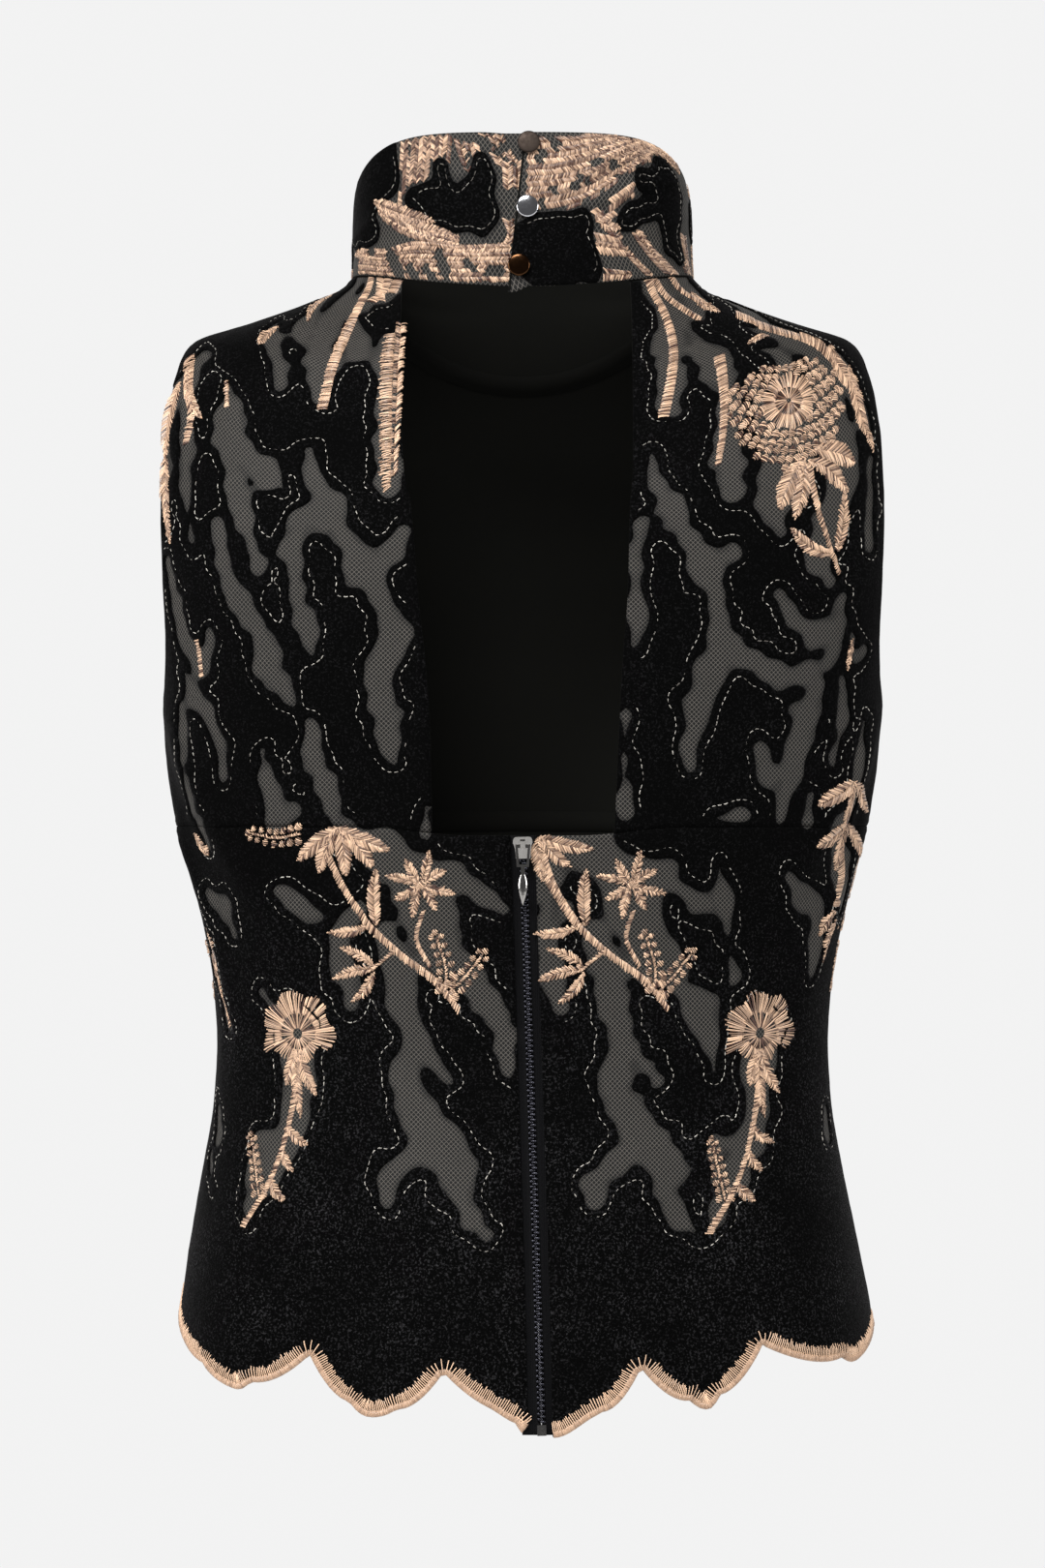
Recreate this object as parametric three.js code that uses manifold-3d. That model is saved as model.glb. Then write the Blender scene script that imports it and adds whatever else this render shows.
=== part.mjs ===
// A sleeveless blouse with a stand collar, an open back and a zip down the lower back, in its worn form.
// Millimetres, +Z up, +Y towards the wearer's back and +X towards the wearer's left. The origin lies between
// the points where the shoulder seams meet the collar, which is the height at which the shoulders carry it.
import * as THREE from "three";
import { mergeVertices } from "three/addons/utils/BufferGeometryUtils.js";
import Module from "manifold-3d";

const wasm = await Module();
wasm.setup();

// Cloth and seams
const CLOTH = 1.6; // net, its lining and the velvet on it
const SEAM = 0.3; // clearance between pieces
const WAIST_SEAM = -253;
const WAIST_SEAM_DIP = 3.5; // the seam hangs lower under the open back
const ARMHOLE = { top: -30, bottom: -205, behind: 50, before: 58, squareness: 2.3 };
const SHOULDER_LEVELS = [-22, -14.5, -8, -3, 0];
const SIDE_LEVELS = [-238, -221];
const ARMHOLE_STEPS = 12;

// Hem
const HEM = { side: -468, back: -489, front: -480, tilt: 0.007, lobe: 2.6, arch: 20.3, sharpness: 0.72 };
const ZIP_END = { fall: 5, over: 18 }; // the back's hem hangs lower next to the zip
const HEM_LEVEL = -490; // where the scallops' widths are measured
const HEM_BAND = -450; // the last straight row above the scallops
const STEPS_A_SCALLOP = 12;
const SKIRT_LEVELS = [-275, -300, -327, -354, -381, -407, -430];
// Places along the hem, in millimetres of cloth, and how many scallops lie before each. The back's run from
// the zip to the side seam and the front's from there to the middle; each ends at "end".
const SCALLOPS = {
  backLeft: [
    [0, 1 / 2], [5.4, 2 / 3], [37.5, 1], [57.6, 4 / 3], [71, 3 / 2], [80, 5 / 3],
    [99.7, 2], [126, 7 / 3], [133, 5 / 2], [155, 8 / 3], ["end", 3],
  ],
  backRight: [
    [0, 1 / 2], [21, 2 / 3], [38.3, 1], [61, 4 / 3], [69, 3 / 2], [74, 5 / 3],
    [95.7, 2], [140.7, 7 / 3], [153.6, 5 / 2], [192, 8 / 3], ["end", 2.7],
  ],
  frontLeft: [[0, 0], ["end", 5 / 2]],
  frontRight: [[0, 0.3], ["end", 5 / 2]],
};

// Zip
const ZIP = { top: -256.8, foot: -516, slant: 8.4, gap: 5.35 };
const TAPE = { wide: 8.5, thick: 0.8 };
const CHAIN = { half: 2.25, up: 0.6 };
const SLIDER = { long: 9.6, topWide: 8.6, footWide: 6.4, corner: 1.6, low: -1.6, high: 1.7 };
const BRIDGE = { wide: 2.2, foot: -1.3, head: 3.3, post: 0.7, hole: 1.9, bar: 0.9, hingeBelow: 0.4 };
const PULL = { wide: 6.6, taper: 0.6, rail: 1.1, frame: 9.4, neck: 1.7, neckLong: 2.2, overlap: 1.2 };
const DROP = { long: 15, wide: 4.0, thick: 1.8, steps: 10, lowWeight: 1.25, fullness: 0.8, into: 0.4 };
const RETAINER = { wide: 3.9, long: 4.6, low: -1.6, high: 1.0 };

// Collar and its three snaps
const OVERLAP = { under: -15, clear: 0.5, settleFrom: 7, settleTo: 19, dip: 3, dipWide: 11 };
const FREE_EDGE = { foot: 6.5, head: -1 };
const SNAPS = [
  { name: "snap_top", x: -2.8, share: 0.925 },
  { name: "snap_middle", x: -2.2, share: 0.505 },
  { name: "snap_bottom", x: 1.6, share: 0.13 },
];
const SNAP = { radius: 5, rim: 0.7, dome: 1.5, backRadius: 4.2, backThick: 1.2, backGap: 0.5 };

// The form that the cloth takes, a row for each level: the heights at the side, the back's middle and the
// front's middle, half the width, the depths to back and front, and how square the section's corners are.
const FORM = [
  { side: -530, back: -530, front: -530, half: 168, toBack: 105, toFront: 122, square: 2.2 },
  { side: -480, back: -480, front: -480, half: 162.5, toBack: 101, toFront: 118, square: 2.2 },
  { side: -444, back: -444, front: -444, half: 155.5, toBack: 96, toFront: 114, square: 2.2 },
  { side: -408, back: -408, front: -408, half: 148, toBack: 89, toFront: 110, square: 2.2 },
  { side: -380, back: -380, front: -380, half: 143.3, toBack: 84, toFront: 106, square: 2.2 },
  { side: -354, back: -354, front: -354, half: 141.8, toBack: 81, toFront: 104, square: 2.2 },
  { side: -325, back: -325, front: -325, half: 143.6, toBack: 82, toFront: 105, square: 2.2 },
  { side: -300, back: -300, front: -300, half: 148, toBack: 84.5, toFront: 108, square: 2.2 },
  { side: -275, back: -275, front: -275, half: 154, toBack: 87.5, toFront: 112, square: 2.25 },
  { side: -253, back: -253, front: -253, half: 158.8, toBack: 90.5, toFront: 116, square: 2.3 },
  { side: -228, back: -228, front: -228, half: 163.4, toBack: 93.5, toFront: 120, square: 2.35 },
  { side: -200, back: -200, front: -201, half: 166.4, toBack: 96.5, toFront: 122, square: 2.5 },
  { side: -170, back: -171, front: -176, half: 168.6, toBack: 98.5, toFront: 121, square: 2.7 },
  { side: -140, back: -143, front: -153, half: 170.4, toBack: 99.5, toFront: 117, square: 2.9 },
  { side: -110, back: -118, front: -133, half: 171.4, toBack: 98.5, toFront: 110, square: 2.95 },
  { side: -80, back: -97, front: -113, half: 170.2, toBack: 95, toFront: 101, square: 2.9 },
  { side: -57, back: -80, front: -97, half: 167, toBack: 90, toFront: 92, square: 2.7 },
  { side: -42, back: -67, front: -85, half: 161.8, toBack: 85, toFront: 85, square: 2.5 },
  { side: -30, back: -55, front: -75, half: 152, toBack: 80, toFront: 80, square: 2.4 },
  { side: -21, back: -42, front: -64, half: 125.5, toBack: 75, toFront: 76, square: 2.3 },
  { side: -12, back: -29, front: -53, half: 100.5, toBack: 70, toFront: 72, square: 2.2 },
  { side: -4, back: -17.5, front: -44, half: 83.3, toBack: 64.5, toFront: 68, square: 2.1 },
  { side: 0, back: -12, front: -40, half: 80, toBack: 62, toFront: 66, square: 2.1 },
];

// The collar's form from its seam (share 0) to its top edge (share 1), whose heights rise and fall in a
// rounder curve than the seam's
const COLLAR = [
  { share: 0, side: 0.3, back: -11.7, front: -39.7, half: 80, toBack: 62, toFront: 66, square: 2.1 },
  { share: 0.3, side: 12.5, back: 9.2, front: -19, half: 79.3, toBack: 62, toFront: 66, square: 2.2 },
  { share: 0.6, side: 25, back: 30.2, front: 1, half: 78.9, toBack: 61.5, toFront: 65.5, square: 2.4 },
  { share: 0.85, side: 35.2, back: 47.6, front: 18, half: 78.2, toBack: 60.2, toFront: 64, square: 2.65 },
  { share: 1, side: 41, back: 57.6, front: 28, half: 77, toBack: 59, toFront: 62, square: 2.8 },
];
const COLLAR_SHARES = [0, 0.16, 0.34, 0.52, 0.7, 0.86, 1];
const COLLAR_COLUMNS = 72;

// The open back's edges, as widths from the middle to the wearer's left and right
const OPEN_BACK = [
  { level: -260, left: 39.8, right: 40.4 },
  { level: -217, left: 40.2, right: 42 },
  { level: -182, left: 42.3, right: 43.6 },
  { level: -148, left: 45.6, right: 45.8 },
  { level: -103, left: 48.6, right: 46.9 },
  { level: -80, left: 51.8, right: 48.2 },
  { level: 0, left: 55, right: 49 },
];

// Soft folds: from one point to another as degrees round from the back's middle and level, half the
// width, and the rise in millimetres. Those of the collar give the share of its height as their level.
const BODY_FOLDS = [
  { from: [74, -206], to: [46, -292], wide: 13, rise: 3.2 },
  { from: [84, -222], to: [66, -340], wide: 11, rise: 2.4 },
  { from: [-76, -204], to: [-44, -288], wide: 13, rise: 3.0 },
  { from: [-82, -230], to: [-62, -330], wide: 12, rise: 2.2 },
  { from: [104, -208], to: [138, -262], wide: 12, rise: 2.4 },
  { from: [-104, -208], to: [-136, -258], wide: 12, rise: 2.6 },
  { from: [89, -450], to: [93, -530], wide: 24, rise: -3.6 },
];
const COLLAR_FOLDS = [
  { from: [-9, 0.42], to: [-62, 0.86], wide: 4.5, rise: 1.3 },
  { from: [-14, 0.22], to: [-75, 0.62], wide: 5, rise: 1.1 },
  { from: [30, 0.62], to: [84, 0.34], wide: 5, rise: 1.2 },
  { from: [22, 0.36], to: [70, 0.12], wide: 4.5, rise: 0.9 },
  { from: [120, 0.3], to: [168, 0.5], wide: 6, rise: 1.2 },
  { from: [236, 0.34], to: [200, 0.58], wide: 6, rise: 1.1 },
];
const FLUTES = { count: 7, rise: 3.0, from: -354, to: -510, uneven: 0.45, calmBy: 12, calmTo: 26 };
const BUST = { x: 74, level: -188, wide: 50, rise: 11 };

const RADIAN = Math.PI / 180;
const ARC_SCALE = 150; // millimetres of cloth a radian, near enough for the folds
const COLLAR_ARC_SCALE = 70;
const COLLAR_TALL = 66;
const FOLD_END = 0.12; // share of a fold's full rise that is gone at its two ends
const SNAP_FLAT = { from: 6, to: 16 }; // degrees from the back's middle where the collar's folds set in
const LEVEL_AT_SEAM = { from: 25, to: 70 }; // widths over which the waist seam's drop fades out
const FINE = 400; // steps in which lengths along a section are measured
const SLIVER = 0.3; // share of a column that is too narrow to stand at an edge
const TURN_STEP = 0.006; // radians and millimetres over which the cloth's direction is measured
const LEVEL_STEP = 0.4;
const SHARE_STEP = 0.01;

const clamp01 = (v) => Math.min(1, Math.max(0, v));
const smooth = (a, b, v) => {
  const t = clamp01((v - a) / (b - a));
  return t * t * (3 - 2 * t);
};

// A smooth curve through one column of a table, kept level where the values turn
function column(table, key, name, at) {
  const last = table.length - 1;
  let i = 0;
  while (i < last - 1 && at > table[i + 1][key]) i += 1;
  const slope = (k) => (table[k + 1][name] - table[k][name]) / (table[k + 1][key] - table[k][key]);
  const tangent = (k) => {
    if (k === 0) return slope(0);
    if (k === last) return slope(last - 1);
    const [a, b] = [slope(k - 1), slope(k)];
    return a * b <= 0 ? 0 : (2 * a * b) / (a + b);
  };
  const run = table[i + 1][key] - table[i][key];
  const t = Math.min(1.2, Math.max(-0.2, (at - table[i][key]) / run));
  const [p, q] = [table[i][name], table[i + 1][name]];
  const [m, n] = [tangent(i) * run, tangent(i + 1) * run];
  const done = 3 * t ** 2 - 2 * t ** 3;
  return p + (q - p) * done + (t ** 3 - 2 * t ** 2 + t) * m + (t ** 3 - t ** 2) * n;
}

// A point of one section: round from the back's middle, through the wearer's left side to the front
function sectionPoint(row, angle) {
  const [s, c] = [Math.sin(angle), Math.cos(angle)];
  const power = 2 / row.square;
  const depth = c > 0 ? row.toBack : row.toFront;
  const middle = c > 0 ? row.back : row.front;
  const rise = c * c + (smooth(0, 1, Math.abs(c)) - c * c) * row.round;
  return new THREE.Vector3(
    row.half * Math.sign(s) * Math.abs(s) ** power,
    depth * Math.sign(c) * Math.abs(c) ** power,
    row.side + (middle - row.side) * rise,
  );
}

const BODY_COLUMNS = ["back", "front", "half", "toBack", "toFront", "square"];
function bodyRow(level) {
  const row = { side: level, round: 0 };
  for (const name of BODY_COLUMNS) row[name] = column(FORM, "side", name, level);
  return row;
}

function collarRow(share) {
  const row = { side: column(COLLAR, "share", "side", share), round: share };
  for (const name of BODY_COLUMNS) row[name] = column(COLLAR, "share", name, share);
  return row;
}

// How far a set of soft folds lifts the cloth at a place
function foldRise(folds, angle, level, across, up) {
  let rise = 0;
  for (const fold of folds) {
    const turn = Math.round((angle / RADIAN - fold.from[0]) / 360) * 360;
    const here = new THREE.Vector2((angle - turn * RADIAN) * across, level * up);
    const a = new THREE.Vector2(fold.from[0] * RADIAN * across, fold.from[1] * up);
    const b = new THREE.Vector2(fold.to[0] * RADIAN * across, fold.to[1] * up);
    const along = b.clone().sub(a);
    const t = clamp01(here.clone().sub(a).dot(along) / along.lengthSq());
    const away = here.distanceTo(a.addScaledVector(along, t));
    const body = Math.sin(Math.PI * (FOLD_END + (1 - 2 * FOLD_END) * t));
    rise += fold.rise * body * Math.exp(-((away / fold.wide) ** 2));
  }
  return rise;
}

const fromBackMiddle = (angle) => Math.abs(((angle / RADIAN + 540) % 360) - 180);

function bodyRise(angle, level, point) {
  const fromBack = fromBackMiddle(angle);
  const flare = smooth(-FLUTES.from, -FLUTES.to, -level) * smooth(FLUTES.calmBy, FLUTES.calmTo, fromBack);
  const wave = Math.cos(FLUTES.count * angle) * (1 + FLUTES.uneven * Math.sin(2 * angle + 1));
  const away = Math.hypot(Math.abs(point.x) - BUST.x, level - BUST.level) / BUST.wide;
  const bust = Math.cos(angle) < 0 ? Math.exp(-(away ** 2)) : 0;
  return FLUTES.rise * flare * wave + BUST.rise * bust + foldRise(BODY_FOLDS, angle, level, ARC_SCALE, 1);
}

// The cloth's outer face and its outward direction, on the body and on the collar
function facing(at, angle, level, da, dl) {
  const round = at(angle + da, level).sub(at(angle - da, level));
  const up = at(angle, level + dl).sub(at(angle, level - dl));
  return up.cross(round).normalize();
}
const bodyAt = (angle, level) => sectionPoint(bodyRow(level), angle);
const collarAt = (angle, share) => sectionPoint(collarRow(share), angle);

function onBody(angle, level) {
  const normal = facing(bodyAt, angle, Math.min(level, -LEVEL_STEP), TURN_STEP, LEVEL_STEP);
  const point = bodyAt(angle, level);
  return { point: point.addScaledVector(normal, bodyRise(angle, level, point)), normal };
}

function onCollar(angle, share) {
  const inside = Math.min(1 - SHARE_STEP, Math.max(SHARE_STEP, share));
  const normal = facing(collarAt, angle, inside, TURN_STEP, SHARE_STEP);
  const edge = smooth(0, 0.15, share) * smooth(0, 0.12, 1 - share);
  const flatBySnaps = smooth(SNAP_FLAT.from, SNAP_FLAT.to, fromBackMiddle(angle));
  const rise = foldRise(COLLAR_FOLDS, angle, share, COLLAR_ARC_SCALE, COLLAR_TALL) * edge * flatBySnaps;
  return { point: collarAt(angle, share).addScaledVector(normal, rise), normal };
}

// The angle at which a section reaches a width or a depth
const angleAtX = (row, x) => Math.asin(clamp01((Math.abs(x) / row.half) ** (row.square / 2))) * Math.sign(x);
const angleFromSide = (row, y, depth) => Math.acos(clamp01((y / depth) ** (row.square / 2)));

// Values that part a stretch evenly, end to end
const evenly = (from, to, count) =>
  Array.from({ length: count + 1 }, (_, i) => from + ((to - from) * i) / count);

// The lengths of cloth from one angle of a section to finely spaced ones up to another
function measured(row, from, to) {
  const angles = evenly(from, to, FINE);
  const lengths = [0];
  for (let i = 1; i <= FINE; i += 1) {
    const step = sectionPoint(row, angles[i]).distanceTo(sectionPoint(row, angles[i - 1]));
    lengths.push(lengths[i - 1] + step);
  }
  return { angles, lengths };
}

// Angles that part a stretch of one section into equal lengths of cloth
function spread(row, from, to, count) {
  const { angles, lengths } = measured(row, from, to);
  return angleAtLengths(angles, lengths, evenly(0, lengths[FINE], count));
}

function angleAtLengths(angles, lengths, wanted) {
  return wanted.map((want) => {
    let i = 1;
    while (i < lengths.length - 1 && lengths[i] < want) i += 1;
    const t = clamp01((want - lengths[i - 1]) / (lengths[i] - lengths[i - 1] || 1));
    return angles[i - 1] + (angles[i] - angles[i - 1]) * t;
  });
}

// One closed wall of cloth. Each row lists points of its outer face, with a share from 0 to 1 across the
// piece, and rows may differ in how many points they have.
function wall(rows, at, outer, thick) {
  const positions = [];
  const place = (cell, depth) => {
    const { point, normal } = at(cell.angle, cell.level);
    point.addScaledVector(normal, (cell.offset || 0) + depth);
    if (cell.drop) point.z -= cell.drop;
    positions.push(point.x, point.y, point.z);
    return positions.length / 3 - 1;
  };
  const faces = rows.map((row) => ({
    shares: row.map((cell) => cell.share),
    out: row.map((cell) => place(cell, outer)),
    in: row.map((cell) => place(cell, outer - thick)),
  }));
  const triangles = [];
  const strip = (low, high, side, flip) => {
    let [i, j] = [0, 0];
    const [a, b] = [low[side], high[side]];
    while (i < a.length - 1 || j < b.length - 1) {
      const lowNext = i < a.length - 1 ? low.shares[i + 1] : Infinity;
      const highNext = j < b.length - 1 ? high.shares[j + 1] : Infinity;
      const face = lowNext <= highNext ? [a[i], b[j], a[i + 1]] : [a[i], b[j], b[j + 1]];
      if (lowNext <= highNext) i += 1;
      else j += 1;
      triangles.push(...(flip ? face.reverse() : face));
    }
  };
  const quad = (a, b, c, d) => triangles.push(a, b, c, a, c, d);
  for (let r = 0; r < faces.length - 1; r += 1) {
    const [low, high] = [faces[r], faces[r + 1]];
    strip(low, high, "out", false);
    strip(low, high, "in", true);
    quad(low.out[0], low.in[0], high.in[0], high.out[0]);
    quad(low.out.at(-1), high.out.at(-1), high.in.at(-1), low.in.at(-1));
  }
  const [foot, head] = [faces[0], faces.at(-1)];
  for (let i = 0; i < foot.out.length - 1; i += 1)
    quad(foot.out[i], foot.out[i + 1], foot.in[i + 1], foot.in[i]);
  for (let i = 0; i < head.out.length - 1; i += 1)
    quad(head.out[i], head.in[i], head.in[i + 1], head.out[i + 1]);
  const geometry = new THREE.BufferGeometry();
  geometry.setAttribute("position", new THREE.Float32BufferAttribute(positions, 3));
  geometry.setIndex(triangles);
  geometry.computeVertexNormals();
  return geometry;
}

const rowOf = (angles, level, extra = {}) =>
  angles.map((angle, i) => ({ angle, level, share: i / (angles.length - 1), ...extra }));

const ARMHOLE_MIDDLE = (ARMHOLE.top + ARMHOLE.bottom) / 2;
const ARMHOLE_REACH = (ARMHOLE.top - ARMHOLE.bottom) / 2;

// Levels of the upper pieces, closest together at the two ends of the armhole
function upperLevels() {
  const turns = evenly(0, Math.PI, ARMHOLE_STEPS);
  const armhole = turns.map((turn) => ARMHOLE_MIDDLE - ARMHOLE_REACH * Math.cos(turn));
  return [WAIST_SEAM + SEAM / 2, ...SIDE_LEVELS, ...armhole, ...SHOULDER_LEVELS];
}

// Where a piece ends at the side: the seam at y = 0, and the armhole's edge between its two ends. The
// front's angles are counted from its own middle.
function sideEdge(level, row, front) {
  const away = Math.min(1, Math.abs((level - ARMHOLE_MIDDLE) / ARMHOLE_REACH));
  const open = (1 - away ** ARMHOLE.squareness) ** (1 / ARMHOLE.squareness);
  const y = Math.max(SEAM / 2, (front ? ARMHOLE.before : ARMHOLE.behind) * open);
  return angleFromSide(row, y, front ? row.toFront : row.toBack);
}

const openHalf = (level, side) => column(OPEN_BACK, "level", side > 0 ? "left" : "right", level);
const zipX = (level) => (-ZIP.slant * (ZIP.top - level)) / (ZIP.top - ZIP.foot);

// The waist seam's drop under the open back
const seamDrop = (x) => WAIST_SEAM_DIP * (1 - smooth(LEVEL_AT_SEAM.from, LEVEL_AT_SEAM.to, Math.abs(x)));
const dropSeam = (cells) => {
  for (const cell of cells) cell.level -= seamDrop(sectionPoint(bodyRow(cell.level), cell.angle).x);
};

// A row's angles stay in line with those above and below it, and the piece's edge cuts them off
function cutRow(level, front, from, columns, edge) {
  const row = bodyRow(level);
  const seam = angleFromSide(row, SEAM / 2, front ? row.toFront : row.toBack);
  const full = spread(row, from(row), seam, columns);
  const kept = full.filter((angle) => angle < edge(row) - SLIVER * (full[1] - full[0]));
  return [...kept, edge(row)].map((angle) => ({ angle, level, share: share(full, angle) }));
}

function share(angles, angle) {
  let i = 1;
  while (i < angles.length - 1 && angles[i] < angle) i += 1;
  return (i - 1 + (angle - angles[i - 1]) / (angles[i] - angles[i - 1])) / (angles.length - 1);
}

function upperBack(side, columns) {
  const rows = upperLevels().map((level) => {
    const inner = (row) => angleAtX(row, openHalf(level, side));
    const cells = cutRow(level, false, inner, columns, (row) => sideEdge(level, row, false));
    return side > 0 ? cells : mirrored(cells, 0, 1);
  });
  dropSeam(rows[0]);
  return wall(rows, onBody, 0, CLOTH);
}

// The same cells on the other side of an angle, from the far end back
function mirrored(cells, about, lastShare) {
  const turned = (cell) => ({ ...cell, angle: 2 * about - cell.angle, share: lastShare - cell.share });
  return cells.map(turned).reverse();
}

function upperFront(columns) {
  const rows = upperLevels().map((level) => {
    const half = cutRow(level, true, () => 0, columns / 2, (row) => sideEdge(level, row, true));
    const left = half.map((cell) => ({ ...cell, angle: Math.PI + cell.angle }));
    return [...mirrored(left, Math.PI, 0), ...left.slice(1)];
  });
  return wall(rows, onBody, 0, CLOTH);
}

// One scallop: a deep arch with a small lobe on each side of its middle one
function scallop(phase) {
  const lobes = Math.abs(Math.sin(3 * Math.PI * phase)) ** HEM.sharpness;
  return HEM.arch * Math.abs(Math.sin(Math.PI * phase)) + HEM.lobe * lobes;
}

function hemLevel(angle, { along, phase }, front) {
  const row = bodyRow(HEM_LEVEL);
  const middle = front ? HEM.front : HEM.back;
  const base = HEM.side + (middle - HEM.side) * Math.cos(angle) ** 2;
  const fall = front ? 0 : ZIP_END.fall * (1 - smooth(0, ZIP_END.over, along));
  return base - scallop(phase) - fall - HEM.tilt * sectionPoint(row, angle).x;
}

// The scalloped edge of half a piece, from one angle to another
function hemCells(from, to, marks, front) {
  const { angles, lengths } = measured(bodyRow(HEM_LEVEL), from, to);
  const total = lengths[FINE];
  const cells = [{ along: 0, phase: marks[0][1] }];
  for (let k = 1; k < marks.length; k += 1) {
    const [start, before] = marks[k - 1];
    const [stop, after] = marks[k];
    const steps = Math.max(1, Math.round(STEPS_A_SCALLOP * (after - before)));
    const places = evenly(start, stop === "end" ? total : stop, steps);
    const phases = evenly(before, after, steps);
    for (let i = 1; i <= steps; i += 1) cells.push({ along: places[i], phase: phases[i] });
  }
  const at = angleAtLengths(angles, lengths, cells.map((cell) => cell.along));
  return cells.map((cell, i) => ({
    angle: at[i],
    level: hemLevel(at[i], cell, front),
    share: cell.along / total,
  }));
}

const backwards = (cells) => cells.map((cell) => ({ ...cell, share: 1 - cell.share })).reverse();

// The rows from the hem up: its scalloped edge, a straight row with as many points, and those above it
function skirtRows(anglesAt, columns, hem) {
  const levels = [...[...SKIRT_LEVELS].reverse(), WAIST_SEAM - SEAM / 2];
  const rows = levels.map((level) => {
    const [from, to] = anglesAt(level);
    return rowOf(spread(bodyRow(level), from, to, columns), level);
  });
  const [from, to] = anglesAt(HEM_BAND);
  const [first, last] = [hem[0].angle, hem.at(-1).angle];
  const band = hem.map(({ angle, share }) => {
    const along = (angle - first) / (last - first);
    return { angle: from + (to - from) * along, level: HEM_BAND, share };
  });
  return [hem, band, ...rows];
}

function lowerBack(side, columns) {
  const anglesAt = (level) => {
    const row = bodyRow(level);
    const inner = angleAtX(row, side * zipX(level) + ZIP.gap);
    const outer = angleFromSide(row, SEAM / 2, row.toBack);
    return side > 0 ? [inner, outer] : [-outer, -inner];
  };
  const [a, b] = anglesAt(ZIP.foot);
  const left = () => hemCells(a, b, SCALLOPS.backLeft, false);
  const right = () => backwards(hemCells(b, a, SCALLOPS.backRight, false));
  const hem = side > 0 ? left() : right();
  const rows = skirtRows(anglesAt, columns, hem);
  dropSeam(rows.at(-1));
  return wall(rows, onBody, 0, CLOTH);
}

function lowerFront(columns) {
  const anglesAt = (level) => {
    const row = bodyRow(level);
    const edge = angleFromSide(row, SEAM / 2, row.toFront);
    return [Math.PI - edge, Math.PI + edge];
  };
  const [a, b] = anglesAt(HEM_LEVEL);
  const left = hemCells(a, Math.PI, SCALLOPS.frontLeft, true);
  const right = backwards(hemCells(b, Math.PI, SCALLOPS.frontRight, true));
  const hem = [
    ...left.map((cell) => ({ ...cell, share: cell.share / 2 })),
    ...right.slice(1).map((cell) => ({ ...cell, share: 0.5 + cell.share / 2 })),
  ];
  return wall(skirtRows(anglesAt, columns, hem), onBody, 0, CLOTH);
}

// The collar runs from its end under the closure, round the neck, to its free edge on top
function collar() {
  const rows = COLLAR_SHARES.map((share) => {
    const row = collarRow(share);
    const freeX = FREE_EDGE.foot + (FREE_EDGE.head - FREE_EDGE.foot) * share;
    const from = angleAtX(row, OVERLAP.under);
    const to = 2 * Math.PI + angleAtX(row, freeX);
    return spread(row, from, to, COLLAR_COLUMNS).map((angle, i) => {
      const x = sectionPoint(row, angle).x;
      const under = angle < Math.PI / 2 ? 1 - smooth(OVERLAP.settleFrom, OVERLAP.settleTo, x) : 0;
      const onTop = angle > 1.5 * Math.PI ? smooth(freeX - OVERLAP.dipWide, freeX - 2, x) : 0;
      return {
        angle,
        level: share,
        share: i / COLLAR_COLUMNS,
        offset: -(CLOTH + OVERLAP.clear) * under,
        drop: OVERLAP.dip * (1 - share) ** 6 * onTop,
      };
    });
  });
  return wall(rows, onCollar, 0, CLOTH);
}

// A strip that follows the zip, with rows where the skirt has them: its edges as widths from the zip's
// middle line, and its layer in the cloth
function zipStrip(left, right, from, to, outer, thick) {
  const between = [HEM_BAND, ...[...SKIRT_LEVELS].reverse()].filter((level) => level > from && level < to);
  const rows = [from, ...between, to].map((level) => {
    const row = bodyRow(level);
    const angles = [right, (left + right) / 2, left].map((x) => angleAtX(row, zipX(level) + x));
    return rowOf(angles, level);
  });
  return wall(rows, onBody, outer, thick);
}

// Solids from three.js shapes, joined and cut
function solidOf(geometry, matrix = new THREE.Matrix4()) {
  const bare = (geometry.index ? geometry.toNonIndexed() : geometry.clone()).applyMatrix4(matrix);
  for (const name of ["normal", "uv"]) bare.deleteAttribute(name);
  const merged = mergeVertices(bare, 1e-4);
  return new wasm.Manifold(
    new wasm.Mesh({
      numProp: 3,
      vertProperties: merged.attributes.position.array,
      triVerts: new Uint32Array(merged.index.array),
    }),
  );
}

function geometryOf(solid) {
  const mesh = solid.getMesh();
  const geometry = new THREE.BufferGeometry();
  geometry.setAttribute("position", new THREE.Float32BufferAttribute(mesh.vertProperties, 3));
  geometry.setIndex([...mesh.triVerts]);
  geometry.computeVertexNormals();
  return geometry;
}

const moved = (x, y, z) => new THREE.Matrix4().makeTranslation(x, y, z);
const block = (wide, long, high, x, y, z) => solidOf(new THREE.BoxGeometry(wide, long, high), moved(x, y, z));

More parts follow.
